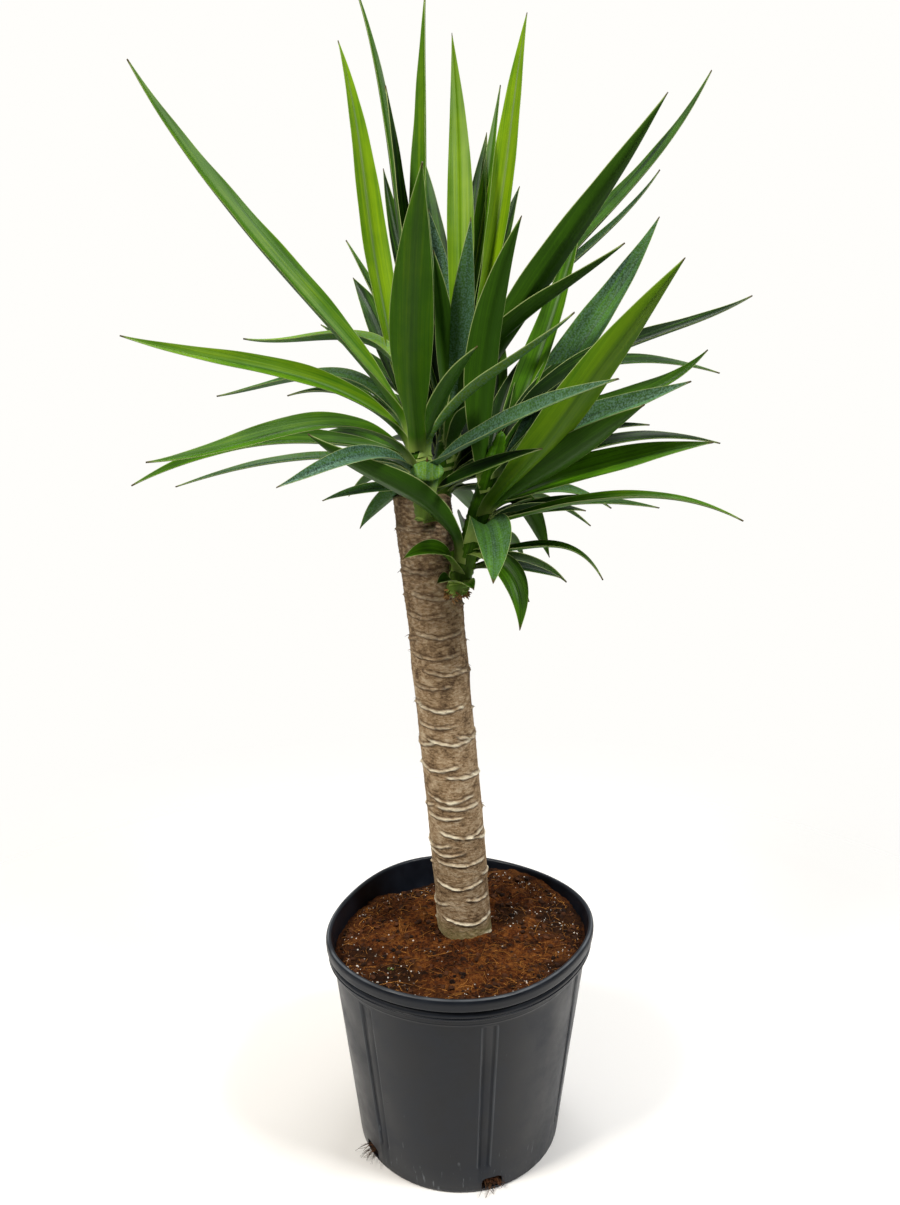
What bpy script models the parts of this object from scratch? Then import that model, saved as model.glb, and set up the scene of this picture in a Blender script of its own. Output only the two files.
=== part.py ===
"""A young yucca cane with three leafy heads, standing in a black nursery can of coir.

The origin is the centre of the can's underside and +Z is up. The side that the photograph shows faces -Y.
Driving sizes are in millimetres and degrees, and MM turns them into metres.
"""

import math
import random
from typing import NamedTuple

import bmesh
import bpy
from mathutils import Quaternion, Vector, noise
from mathutils.bvhtree import BVHTree

MM = 0.001
GAP = 0.3  # left between pieces that touch

# The can
CAN_HEIGHT = 233
CAN_SIDES = 48
WALL = 2.2
FLOOR = 3
FLOOR_ROUNDING = 3
RIM_RADIUS = 138
BAND_RADIUS = 136
BAND_FOOT = 211  # where the rim's thick band ends in an undercut
LIP_WIDTH = 6.5
LIP_DEPTH = 6
NECK_RADIUS = 131
WALL_TOP = 202  # where the straight flare of the wall ends
WALL_TOP_RADIUS = 130
FOOT_RADIUS = 107
FOOT_ROUNDING = 5
CHANNEL_ANGLES = (-133, -78, -24, 38, 101, 164)
CHANNEL_WIDTH = 13
CHANNEL_DEPTH = 1.1
CHANNEL_FOOT = 30
DRAIN_ANGLES = (-146, -73, -1, 71, 143)
DRAIN_WIDTH = 21
DRAIN_HEIGHT = 12
DRAIN_FOOT = 4
DRAIN_SHOULDER = 0.7  # share of its height where the drain hole starts to narrow
DRAIN_TOP_WIDTH = 0.55  # as a share of its width
CUT_REACH = 8  # how far a cutter stands out of the wall, on either side

# The can's mouth is squeezed out of round. Each wave has its crests, their height and where the first one is
MOUTH_SWELL = 2
MOUTH_WAVES = ((1, 1.7, 88), (2, 3.7, 66), (3, 2.5, -8), (4, 2.5, 17))
SQUEEZE_FROM = 50  # what lies within this radius keeps its place
SQUEEZE_FULL = 101
SQUEEZE_ROOM = 0.2  # extra clearance for the twist of the bent wall's faces
WALL_RINGS = (70, 136)  # heights where the wall has points between its ends, so that it bends evenly

# The soil
SOIL_HEIGHT = 214
SOIL_RINGS = 7
SOIL_BUMP = 3
SOIL_CRUMB = 26
SOIL_FRONT_RISE = 4
SOIL_BANKS = ((72, 122, 78, 16), (-46, 118, 42, -13))  # x, y, reach and rise of the mound and the hollow
SOIL_CRUST = 188  # below the top's lowest place

# The cane: height, x and y of points on its centre line
CANE_LINE = ((62, 22, 12), (224, 5, 20), (360, -6, 20), (470, -17, 20), (580, -27, 20), (674, -38, 20))
CANE_RADIUS = 28.6
CANE_SIDES = 18
CANE_LUMP = 0.9
CANE_TOP_RADIUS = 24.6
CANE_TOP_ROUNDING = 3
CANE_TOP_DISH = 1.5
SCAR_SPACING = 18
SCAR_HEIGHT = 1.5
SCAR_RISE = 6
SCAR_FALL = 2
SCAR_SLANT = 3.2
TOPMOST_SCAR = 16  # below the cane's top

# The stems of the heads: how their radius runs up to the crown
STEM_SIDES = 10
STEM_TAPER = ((0, 1), (0.5, 1), (0.85, 0.8), (0.97, 0.45))
CROWN_TIP = 4

# The blades: clasping root, swelling, long taper
BLADE_STEPS = 7
SHORT_BLADE_STEPS = 5
SHORT_BLADE = 140
BLADE_WIDTHS = ((0.0, 0.56), (0.1, 0.46), (0.28, 0.8), (0.45, 1.0), (0.6, 0.93), (0.78, 0.62), (1.0, 0.0))
BLADE_FOLDS = (0.62, 0.2)  # depth of the channel at the root and at the tip, as a share of half the width
BLADE_THICKNESSES = (3.0, 1.8)
SWING_SCALE = 10.4  # makes the crest of a leaf's swing as high as its figure

# The leaves that the photograph hides, from the lowest to the highest
GOLDEN_ANGLE = 137.5
FILL_RISES = (0.2, 0.92)  # as a share of the stem
FILL_LIFTS = (-14, 62)
FILL_WIDTHS = (20, 29)
FILL_NARROWING = 0.67
FILL_BOWS = (1.1, 0.1)
CLEARANCE = 1.5  # kept between a filling leaf and the leaves of another head


class Leaf(NamedTuple):
    """A leaf by where it leaves the stem and where its straight line to the tip points."""

    rise: float  # up the stem from its foot
    heading: float  # 0 is +X and 90 is +Y
    lift: float  # above the horizontal
    length: float
    width: float
    roll: float  # how far it is turned about its own length
    bow: float  # how far the middle stands above the straight line
    sway: float = 0.0  # how far the middle stands to the left of it, seen along the leaf
    swing: float = 0.0  # how much further it stands above the line near its root, and nearer it near its tip


class Head(NamedTuple):
    """A leafy shoot: its stem and the leaves that the photograph shows, then the rule for the rest."""

    name: str
    foot: tuple
    top: tuple
    stem_radius: float
    leaves: tuple
    fill_count: int
    fill_heading: float  # the middle of the hidden side
    fill_fan: float  # how far the lowest of them spread
    fill_lengths: tuple  # of the lowest and the highest


FRONT_LEAVES = (
    Leaf(20, -95, 52, 42, 34, 0, 2),
    Leaf(25, -52, 16, 165, 17, -50, 4),
    Leaf(29, 150, -7, 122, 12, 55, 7),
    Leaf(36, 140, -30, 99, 18, -33, 11, -2),
    Leaf(40, -119, 1, 211, 17, 42, 23, 2, 4),
    Leaf(47, 169, -4, 252, 11, 35, 20, 0, 2),
    Leaf(47, -56, 16, 267, 22, -50, 8, -1),
    Leaf(52, -142, 2, 260, 22, 37, 32, 3, 10),
    Leaf(57, 148, 21, 174, 16, 25, 29),
    Leaf(57, -160, -4, 258, 22, 35, 29),
    Leaf(58, -54, 48, 130, 20, 0, 11),
    Leaf(62, 157, 14, 235, 22, 20, 49, -2, 10),
    Leaf(62, -44, 33, 209, 14, 4, 11, 0, 4),
    Leaf(66, -87, 43, 287, 36, 0, 0, -7),
    Leaf(67, -158, 20, 274, 23, 50, 22, 2, 7),
    Leaf(88, 159, 25, 203, 24, 14, 47, -11, 13),
    Leaf(81, -170, 52, 387, 33, 37, -3, 0, 5),
    Leaf(85, 127, 71, 391, 27, 7, -9, -3, -7),
    Leaf(94, 160, 85, 290, 24, 5, 6),
    Leaf(99, 21, 88, 354, 28, -10, -1, 0, -1),
)

REAR_LEAVES = (
    Leaf(30, -6, 8, 120, 24, -35, 12),
    Leaf(33, 18, 14, 150, 24, -30, 16),
    Leaf(36, -22, 24, 110, 22, -20, 8),
    Leaf(40, 2, 34, 150, 26, -20, 10),
    Leaf(48, 5, 19, 296, 22, -37, 51),
    Leaf(58, -32, 46, 262, 26, 15, 35, -5, 8),
    Leaf(68, 137, 56, 264, 22, -5, 6),
    Leaf(79, 130, 69, 294, 28, 15, -2, 0, 2),
    Leaf(79, -72, 72, 207, 26, 0, -3),
    Leaf(79, -103, 70, 180, 21, 0, 3, 4),
    Leaf(80, -38, 51, 352, 29, 36, 10, 0, 3),
    Leaf(89, 145, 75, 448, 21, -5, -4, 1, -9),
    Leaf(89, 111, 74, 230, 24, 0, 7, -6),
    Leaf(90, 11, 53, 434, 29, -25, 8, 1, 10),
    Leaf(99, 65, 74, 295, 20, 20, -5, -4),
    Leaf(99, 14, 49, 328, 17, -20, 16, 0, 10),
    Leaf(109, 92, 80, 374, 27, -2, -2, -8, 4),
    Leaf(114, 49, 74, 406, 28, -17, -9, -1, -4),
    Leaf(119, 60, 74, 329, 20, 15, -2),
)

SIDE_LEAVES = (
    Leaf(14, -117, 5, 48, 13, 35, 4),
    Leaf(16, -70, -8, 36, 14, -15, 3),
    Leaf(25, -132, 13, 84, 18, 45, 15),
    Leaf(29, 6, -8, 97, 14, -35, 6),
    Leaf(29, 13, -30, 77, 14, -42, 15),
    Leaf(35, -144, 36, 204, 26, -38, 16, 4, 6),
    Leaf(45, -50, -43, 98, 24, -30, 22, 7),
    Leaf(50, -23, -11, 133, 11, -21, 17, 1, -8),
    Leaf(55, -81, -13, 107, 35, -2, 31, 7, 6),
    Leaf(65, 8, 9, 111, 16, -37, 10),
    Leaf(70, -20, 3, 243, 14, -21, 24, 0, -4),
    Leaf(75, 18, 2, 197, 16, -30, 12),
    Leaf(75, 40, -24, 110, 23, 33, 37, 2, 5),
    Leaf(80, 20, 1, 144, 16, -40, 23),
    Leaf(83, -54, 40, 305, 33, 38, -4, 0, -2),
    Leaf(83, -43, 29, 200, 32, 38, 2),
    Leaf(85, -24, 17, 221, 30, -52, 9),
    Leaf(95, 14, 12, 252, 18, -32, 27),
    Leaf(105, -65, 75, 239, 31, 11, 18, -10),
    Leaf(105, 40, 64, 281, 30, -15, -4),
    Leaf(105, 20, 19, 186, 20, -30, 18),
    Leaf(105, 58, 62, 138, 22, 0, 6, 3),
    Leaf(110, 13, 30, 254, 30, -29, 7, -2, 9),
    Leaf(115, 23, 54, 306, 35, -35, -2, 0, 2),
    Leaf(115, 24, 43, 201, 22, -20, 25),
    Leaf(119, -35, 23, 207, 28, -54, 9, 0, 2),
    Leaf(124, 9, 33, 298, 27, -26, 32, 0, 10),
)

HEADS = (
    Head("head_front", (-31, -11, 652), (-46, -9, 770), 11.5, FRONT_LEAVES, 10, 105, 130, (150, 250)),
    Head("head_rear", (-24, 40, 650), (-2, 62, 780), 12, REAR_LEAVES, 25, 92, 130, (190, 340)),
    Head("head_side", (-4, -3, 580), (38, -18, 735), 11, SIDE_LEAVES, 13, 70, 100, (110, 240)),
)


def clear_scene() -> None:
    """Removes the objects that the file opened with."""
    for old in list(bpy.data.objects):
        bpy.data.objects.remove(old, do_unlink=True)


def material(name: str, colour: tuple, roughness: float) -> bpy.types.Material:
    """A plain Principled material, with its colour in linear light."""
    made = bpy.data.materials.new(name)
    made.use_nodes = True
    shader = made.node_tree.nodes["Principled BSDF"]
    shader.inputs["Base Color"].default_value = (*colour, 1.0)
    shader.inputs["Roughness"].default_value = roughness
    shader.inputs["Metallic"].default_value = 0.0
    made.diffuse_color = (*colour, 1.0)
    return made


def polar(radius: float, degrees: float, height: float = 0.0) -> Vector:
    """A point round the Z axis."""
    turn = math.radians(degrees)
    return Vector((radius * math.cos(turn), radius * math.sin(turn), height))


def blend(ends: tuple, share: float) -> float:
    """A value between two ends."""
    return ends[0] + (ends[1] - ends[0]) * share


def add_object(name: str, bm: bmesh.types.BMesh, finish: bpy.types.Material | None) -> bpy.types.Object:
    """Puts a finished bmesh, in millimetres, into the scene in metres."""
    bmesh.ops.scale(bm, vec=(MM, MM, MM), verts=bm.verts)
    bmesh.ops.recalc_face_normals(bm, faces=bm.faces)
    mesh = bpy.data.meshes.new(name)
    bm.to_mesh(mesh)
    bm.free()
    made = bpy.data.objects.new(name, mesh)
    bpy.context.collection.objects.link(made)
    if finish:
        mesh.materials.append(finish)
    return made


def loft(rings: list) -> bmesh.types.BMesh:
    """Joins rings of points into one closed skin. A ring of one point closes an end."""
    bm = bmesh.new()
    rows = [[bm.verts.new(point) for point in ring] for ring in rings]
    for low, high in zip(rows, rows[1:]):
        count = max(len(low), len(high))
        for i in range(count):
            j = (i + 1) % count
            corners = [low[i % len(low)], low[j % len(low)], high[j % len(high)], high[i % len(high)]]
            bm.faces.new(list(dict.fromkeys(corners)))
    for end in (rows[0], rows[-1]):
        if len(end) > 2:
            bm.faces.new(end)
    return bm


def shade(made: bpy.types.Object, sharp_degrees: float) -> None:
    """Smooth shading that keeps edges sharper than the angle."""
    made.data.shade_smooth()
    made.data.set_sharp_from_angle(angle=math.radians(sharp_degrees))


def apply_boolean(target: bpy.types.Object, operation: str, tools: list) -> None:
    """Joins to the target, or cuts from it, every tool at once, and removes the tools."""
    group = bpy.data.collections.new(f"{target.name}_{operation.lower()}")
    for tool in tools:
        group.objects.link(tool)
    step = target.modifiers.new(operation.title(), "BOOLEAN")
    step.operation = operation
    step.operand_type = "COLLECTION"
    step.collection = group
    step.solver = "EXACT"
    graph = bpy.context.evaluated_depsgraph_get()
    result = bpy.data.meshes.new_from_object(target.evaluated_get(graph))
    target.modifiers.clear()
    target.data = result
    for tool in tools:
        bpy.data.objects.remove(tool, do_unlink=True)
    bpy.data.collections.remove(group)


def keep_largest_body(made: bpy.types.Object) -> None:
    """Drops the scraps that a cut leaves loose."""
    bm = bmesh.new()
    bm.from_mesh(made.data)
    bm.verts.ensure_lookup_table()
    unseen = set(bm.verts)
    bodies = []
    while unseen:
        body = {unseen.pop()}
        edge_of_body = list(body)
        while edge_of_body:
            vert = edge_of_body.pop()
            for link in vert.link_edges:
                other = link.other_vert(vert)
                if other in unseen:
                    unseen.remove(other)
                    body.add(other)
                    edge_of_body.append(other)
        bodies.append(body)
    bodies.sort(key=len)
    scraps = [vert for body in bodies[:-1] for vert in body]
    bmesh.ops.delete(bm, geom=scraps, context="VERTS")
    bm.to_mesh(made.data)
    bm.free()


# The can


def wall_radius(height: float) -> float:
    """Outside radius of the can's flaring wall."""
    return blend((FOOT_RADIUS, WALL_TOP_RADIUS), (height - FOOT_ROUNDING) / (WALL_TOP - FOOT_ROUNDING))


def wall_inside(height: float) -> float:
    """Inside radius of the can, up its wall and on to its lip."""
    if height <= WALL_TOP:
        return wall_radius(height) - WALL
    share = min(1.0, (height - WALL_TOP) / (CAN_HEIGHT - LIP_DEPTH - WALL_TOP))
    return blend((WALL_TOP_RADIUS - WALL, RIM_RADIUS - LIP_WIDTH), share)


def mouth_shift(degrees: float) -> float:
    """How far the can's mouth stands out on one side."""
    shift = MOUTH_SWELL
    for crests, rise, first in MOUTH_WAVES:
        shift += rise * math.cos(math.radians(crests * (degrees - first)))
    return shift


def squeeze(made: bpy.types.Object) -> None:
    """Bends a piece with the can's mouth: fully at the mouth, and not at all at the foot."""
    for vert in made.data.vertices:
        radius = math.hypot(vert.co.x, vert.co.y) / MM
        outwards = (radius - SQUEEZE_FROM) / (SQUEEZE_FULL - SQUEEZE_FROM)
        if outwards > 0:
            upwards = vert.co.z / MM / CAN_HEIGHT
            shift = mouth_shift(math.degrees(math.atan2(vert.co.y, vert.co.x)))
            grown = 1 + shift * upwards * min(1.0, outwards) / radius
            vert.co.x *= grown
            vert.co.y *= grown


def can_profile() -> list:
    """Radius and height of the turned can, from the middle of its underside to the middle of its floor."""
    underside = [
        (0, 0),
        (FOOT_RADIUS - FOOT_ROUNDING, 0),
        (FOOT_RADIUS - 1, 2),
        (FOOT_RADIUS, FOOT_ROUNDING),
    ]
    outside = [(wall_radius(height), height) for height in WALL_RINGS]
    neck = [
        (WALL_TOP_RADIUS, WALL_TOP),
        (NECK_RADIUS, WALL_TOP + 2),
        (NECK_RADIUS + 1, BAND_FOOT),
    ]
    band = [
        (BAND_RADIUS, BAND_FOOT + 0.5),
        (BAND_RADIUS, BAND_FOOT + 7),
        (BAND_RADIUS - 1.5, BAND_FOOT + 9),
        (RIM_RADIUS - 0.5, BAND_FOOT + 11),
    ]
    lip = [
        (RIM_RADIUS, CAN_HEIGHT - LIP_DEPTH),
        (RIM_RADIUS - 1, CAN_HEIGHT - 1.5),
        (RIM_RADIUS - 3, CAN_HEIGHT),
        (RIM_RADIUS - LIP_WIDTH + 1, CAN_HEIGHT - 1.5),
        (RIM_RADIUS - LIP_WIDTH, CAN_HEIGHT - LIP_DEPTH),
    ]
    inside = [
        (WALL_TOP_RADIUS - WALL, WALL_TOP),
        *((wall_inside(height), height) for height in reversed(WALL_RINGS)),
        (FOOT_RADIUS - WALL, FLOOR + FLOOR_ROUNDING),
        (FOOT_RADIUS - WALL - FLOOR_ROUNDING, FLOOR),
        (0, FLOOR),
    ]
    return underside + outside + neck + band + lip + inside


def wall_cutter(name: str, degrees: float, depth: float, sections: list) -> bpy.types.Object:
    """A tool that follows the wall outside, with a height and a width for each of its sections."""
    rings = []
    for height, width in sections:
        outside = wall_radius(height)
        half = math.degrees(width / 2 / FOOT_RADIUS)
        corners = ((-depth, -half), (-depth, half), (CUT_REACH, half), (CUT_REACH, -half))
        rings.append([polar(outside + out, degrees + turn, height) for out, turn in corners])
    return add_object(name, loft(rings), None)


def channel_cutter(degrees: float) -> bpy.types.Object:
    """A shallow upright channel that is moulded into the wall."""
    sections = [(CHANNEL_FOOT, CHANNEL_WIDTH), (WALL_TOP - 2, CHANNEL_WIDTH)]
    return wall_cutter("channel_cutter", degrees, CHANNEL_DEPTH, sections)


def drain_cutter(degrees: float) -> bpy.types.Object:
    """The notch through the foot of the wall."""
    sections = [
        (DRAIN_FOOT, DRAIN_WIDTH),
        (DRAIN_FOOT + DRAIN_HEIGHT * DRAIN_SHOULDER, DRAIN_WIDTH),
        (DRAIN_FOOT + DRAIN_HEIGHT, DRAIN_WIDTH * DRAIN_TOP_WIDTH),
    ]
    return wall_cutter("drain_cutter", degrees, CUT_REACH, sections)


def build_can(finish: bpy.types.Material) -> bpy.types.Object:
    """The blow-moulded can: one turned shell with channels and drain holes."""
    bm = bmesh.new()
    points = [bm.verts.new((radius, 0, height)) for radius, height in can_profile()]
    edges = [bm.edges.new(pair) for pair in zip(points, points[1:])]
    bmesh.ops.spin(
        bm,
        geom=points + edges,
        cent=(0, 0, 0),
        axis=(0, 0, 1),
        angle=math.tau,
        steps=CAN_SIDES,
        use_merge=True,
    )
    bmesh.ops.remove_doubles(bm, verts=bm.verts, dist=0.001)
    can = add_object("pot", bm, finish)
    cutters = [channel_cutter(degrees) for degrees in CHANNEL_ANGLES]
    cutters += [drain_cutter(degrees) for degrees in DRAIN_ANGLES]
    apply_boolean(can, "DIFFERENCE", cutters)
    squeeze(can)
    shade(can, 28)
    return can


# The cane


def cane_centre(height: float) -> Vector:
    """The point of the cane's bent centre line at a height."""
    for (low, x0, y0), (high, x1, y1) in zip(CANE_LINE, CANE_LINE[1:]):
        if height <= high or high == CANE_LINE[-1][0]:
            share = (height - low) / (high - low)
            return Vector((x0 + (x1 - x0) * share, y0 + (y1 - y0) * share, height))
    raise ValueError(height)


def cane_ring(height: float, extra: float, slant: float, slant_turn: float) -> list:
    """A ring of the bark, slanted as the leaf scars are and a little out of round."""
    ring = []
    for i in range(CANE_SIDES):
        degrees = 360 * i / CANE_SIDES
        lean = slant * math.cos(math.radians(degrees - slant_turn))
        lump = CANE_LUMP * noise.noise(polar(1, degrees, height / 40))
        ring.append(cane_centre(height) + polar(CANE_RADIUS + extra + lump, degrees, lean))
    return ring


def build_cane(name: str, grown: float, finish: bpy.types.Material | None) -> bpy.types.Object:
    """The cane with a raised ring at each leaf scar. A grown copy of it cuts what is seated on it."""
    foot, bark_from, top = CANE_LINE[0][0], CANE_LINE[1][0], CANE_LINE[-1][0]

    def plain_ring(height: float, radius: float, shift: float) -> list:
        centre = cane_centre(height)
        return [centre + polar(radius + grown, 360 * i / CANE_SIDES, shift) for i in range(CANE_SIDES)]

    rings = [
        [cane_centre(foot - grown)],
        plain_ring(foot, CANE_RADIUS, -grown),
        plain_ring(bark_from, CANE_RADIUS, 0),
    ]
    scars = int((top - bark_from - TOPMOST_SCAR) / SCAR_SPACING)
    for k in range(scars):
        height = bark_from + SCAR_SPACING * (k + 0.75)
        turn = k * GOLDEN_ANGLE
        rings.append(cane_ring(height - SCAR_RISE, grown, SCAR_SLANT, turn))
        rings.append(cane_ring(height, grown + SCAR_HEIGHT, SCAR_SLANT, turn))
        rings.append(cane_ring(height + SCAR_FALL, grown, SCAR_SLANT, turn))
    rings.append(cane_ring(top - CANE_TOP_ROUNDING, grown - 0.5, 0, 0))
    rings.append(plain_ring(top, CANE_TOP_RADIUS, grown))
    rings.append([cane_centre(top) + Vector((0, 0, grown - CANE_TOP_DISH))])
    cane = add_object(name, loft(rings), finish)
    shade(cane, 50)
    return cane


# The soil


def soil_top(x: float, y: float) -> float:
    """Height of the soil: crumbly, heaped up at the back right and hollow at the back left."""
    height = SOIL_HEIGHT + SOIL_FRONT_RISE * (0.5 * x - y) / RIM_RADIUS
    height += SOIL_BUMP * noise.noise(Vector((x, y, 0)) / SOIL_CRUMB)
    for bank_x, bank_y, reach, rise in SOIL_BANKS:
        height += rise * math.exp(-((x - bank_x) ** 2 + (y - bank_y) ** 2) / reach**2)
    return height


def build_soil(finish: bpy.types.Material) -> bpy.types.Object:
    """The filling of the can, down to its floor, with a plain hole for the cane."""
    hole = CANE_RADIUS + GAP
    mouth = SOIL_HEIGHT + SOIL_BUMP
    foot = CANE_LINE[0][0] - GAP
    flats = WALL_TOP_RADIUS * (1 - math.cos(math.pi / CAN_SIDES))  # the can is a little narrower across these
    room = GAP + SQUEEZE_ROOM + flats
    low_radius = FOOT_RADIUS - FLOOR_ROUNDING - WALL - room

    def circle(radius: float, centre: Vector, height: float | None = None) -> list:
        ring = []
        for i in range(CAN_SIDES):
            point = centre + polar(radius, 360 * i / CAN_SIDES)
            point.z = soil_top(point.x, point.y) if height is None else height
            ring.append(point)
        return ring

    def against_wall(point: Vector) -> Vector:
        edge = point.copy()
        edge.xy = point.xy.normalized() * (wall_inside(point.z) - room)
        return edge

    origin = Vector((0, 0, 0))
    crust = wall_inside(SOIL_CRUST) - room
    rings = [
        [Vector((0, 0, FLOOR + GAP))],
        circle(low_radius, origin, FLOOR + GAP),
        circle(low_radius + FLOOR_ROUNDING, origin, FLOOR + FLOOR_ROUNDING + 2 * GAP),
        *(circle(wall_inside(height) - room, origin, height) for height in WALL_RINGS),
        circle(crust, origin, SOIL_CRUST),
        [against_wall(point) for point in circle(crust, origin)],
    ]
    for k in range(1, SOIL_RINGS):
        share = k / SOIL_RINGS
        middle = cane_centre(mouth) * share
        rings.append(circle(blend((crust, hole), share), Vector((middle.x, middle.y, 0))))
    rings.append([cane_centre(mouth) + polar(hole, 360 * i / CAN_SIDES) for i in range(CAN_SIDES)])
    rings.append([cane_centre(foot) + polar(hole, 360 * i / CAN_SIDES) for i in range(CAN_SIDES)])
    rings.append([cane_centre(foot)])
    soil = add_object("soil", loft(rings), finish)
    squeeze(soil)
    shade(soil, 40)
    return soil


# The heads


def blade_width(share: float) -> float:
    """Width of a blade along its length, as a share of its widest."""
    for (s0, w0), (s1, w1) in zip(BLADE_WIDTHS, BLADE_WIDTHS[1:]):
        if share <= s1:
            return blend((w0, w1), (share - s0) / (s1 - s0))
    return 0.0


def blade_rings(root: Vector, leaf: Leaf, fat: float = 0.0) -> list:
    """Sections of a blade: both edges, with a channelled top and a keeled back between them."""
    heading, lift = math.radians(leaf.heading), math.radians(leaf.lift)
    ahead = Vector((math.cos(heading), math.sin(heading), 0))
    across = Vector((-math.sin(heading), math.cos(heading), 0))
    chord = ahead * math.cos(lift) + Vector((0, 0, math.sin(lift)))
    above = chord.cross(across)
    bend = 4 * (above * leaf.bow + across * leaf.sway)
    swing = SWING_SCALE * above * leaf.swing
    steps = BLADE_STEPS if leaf.length > SHORT_BLADE else SHORT_BLADE_STEPS
    rings = []
    for k in range(steps):
        share = k / steps
        offset = (bend + swing * (1 - 2 * share)) * share * (1 - share)
        slope = bend * (1 - 2 * share) + swing * (1 - 6 * share + 6 * share**2)
        centre = root + chord * leaf.length * share + offset
        run = (chord * leaf.length + slope).normalized()
        side = (across - run * across.dot(run)).normalized()
        up = run.cross(side)
        turn = Quaternion(run, -math.radians(leaf.roll))
        side, up = turn @ side, turn @ up
        half = blade_width(share) * leaf.width / 2 + fat
        fold = half * blend(BLADE_FOLDS, share)
        thick = blend(BLADE_THICKNESSES, share) + 2 * fat
        valley = centre - up * fold / 2
        rings.append(
            [
                valley + side * half + up * fold,
                valley + up * fat,
                valley - side * half + up * fold,
                valley - up * (thick - fat),
            ]
        )
    rings.append([root + chord * leaf.length])
    return rings


def blade_bmesh(rings: list) -> bmesh.types.BMesh:
    """Skins a blade with triangles that run alike on its top and its back."""
    bm = bmesh.new()
    rows = [[bm.verts.new(point) for point in ring] for ring in rings]
    for low, high in zip(rows, rows[1:]):
        if len(high) == 1:
            for i in range(4):
                bm.faces.new((low[i], low[(i + 1) % 4], high[0]))
            continue
        for edge in (0, 2):
            for middle in (1, 3):
                bm.faces.new((low[edge], low[middle], high[middle]))
                bm.faces.new((low[edge], high[middle], high[edge]))
    root = rows[0]
    bm.faces.new((root[0], root[1], root[3]))
    bm.faces.new((root[2], root[1], root[3]))
    bmesh.ops.recalc_face_normals(bm, faces=bm.faces)
    return bm


def root_point(head: Head, rise: float) -> Vector:
    """A point on the stem's centre line."""
    foot, top = Vector(head.foot), Vector(head.top)
    return foot + (top - foot).normalized() * rise


def stem_bmesh(head: Head) -> bmesh.types.BMesh:
    """The round stem that the leaves grow from, with its pointed crown."""
    foot, top = Vector(head.foot), Vector(head.top)
    rings = [[foot]]
    for share, size in STEM_TAPER:
        radius = head.stem_radius * size
        rings.append([foot.lerp(top, share) + polar(radius, 360 * i / STEM_SIDES) for i in range(STEM_SIDES)])
    rings.append([top + (top - foot).normalized() * CROWN_TIP])
    return loft(rings)


def search_tree(bm: bmesh.types.BMesh) -> BVHTree:
    """A tree that finds what crosses a skin."""
    tree = BVHTree.FromBMesh(bm)
    bm.free()
    return tree


def skin_trees(head: Head, leaves: list) -> list:
    """Search trees of a head's stem and of each of its blades."""
    blades = [blade_bmesh(blade_rings(root_point(head, leaf.rise), leaf)) for leaf in leaves]
    return [search_tree(bm) for bm in [stem_bmesh(head), *blades]]


def filling_leaves(head: Head, others: list) -> list:
    """Leaves that the photograph hides: a spiral up the stem, leaving out what would cross another head."""
    draw = random.Random(head.name)
    height = (Vector(head.top) - Vector(head.foot)).length
    kept = []
    for k in range(head.fill_count):
        share = (k + 0.5) / head.fill_count
        spiral = (k * GOLDEN_ANGLE / 360) % 1.0 - 0.5
        leaf = Leaf(
            rise=height * blend(FILL_RISES, share),
            heading=head.fill_heading + head.fill_fan * spiral * (1 - FILL_NARROWING * share),
            lift=blend(FILL_LIFTS, share) + draw.uniform(-6, 6),
            length=blend(head.fill_lengths, share * draw.uniform(0.8, 1)),
            width=blend(FILL_WIDTHS, share),
            roll=draw.uniform(-30, 30),
            bow=draw.uniform(8, 34) * blend(FILL_BOWS, share),
        )
        blade = search_tree(blade_bmesh(blade_rings(root_point(head, leaf.rise), leaf, CLEARANCE)))
        if not any(blade.overlap(other) for other in others):
            kept.append(leaf)
    return kept


def build_head(head: Head, leaves: list, finish: bpy.types.Material) -> bpy.types.Object:
    """One shoot: a stem with every blade's root sunk in it, seated on the cane."""
    shoot = add_object(head.name, stem_bmesh(head), finish)
    blades = []
    for leaf in leaves:
        rings = blade_rings(root_point(head, leaf.rise), leaf)
        blades.append(add_object("blade", blade_bmesh(rings), finish))
    apply_boolean(shoot, "UNION", blades)
    apply_boolean(shoot, "DIFFERENCE", [build_cane("cane_cutter", GAP, None)])
    keep_largest_body(shoot)
    shade(shoot, 40)
    return shoot


def build_heads(finish: bpy.types.Material) -> None:
    """The three shoots, each kept clear of the other two."""
    leaves = {head.name: list(head.leaves) for head in HEADS}
    for head in HEADS:
        others = []
        for other in HEADS:
            if other is not head:
                others += skin_trees(other, leaves[other.name])
        leaves[head.name] += filling_leaves(head, others)
    for head in HEADS:
        build_head(head, leaves[head.name], finish)


def build_yucca() -> None:
    """Every piece of the potted plant."""
    clear_scene()
    build_can(material("can_plastic", (0.036, 0.041, 0.047), 0.42))
    build_soil(material("coir_soil", (0.085, 0.033, 0.013), 0.95))
    build_cane("trunk", 0.0, material("cane_bark", (0.235, 0.165, 0.105), 0.85))
    build_heads(material("leaf_green", (0.055, 0.165, 0.02), 0.45))


build_yucca()
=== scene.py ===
"""The looks of a potted yucca: a finer can, soil, cane and leaves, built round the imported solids.

Pieces are modelled in millimetres, in the frame of the solids, and brought to metres when they are settled.
The origin is the centre of the can's underside, +Z is up, and the side that the photograph shows faces -Y.
"""

import logging
import math
import random
from collections.abc import Callable, Iterator
from contextlib import contextmanager
from dataclasses import dataclass, field
from enum import Enum

import bmesh
import bpy
import numpy as np
from mathutils import Matrix, Vector, noise


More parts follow.
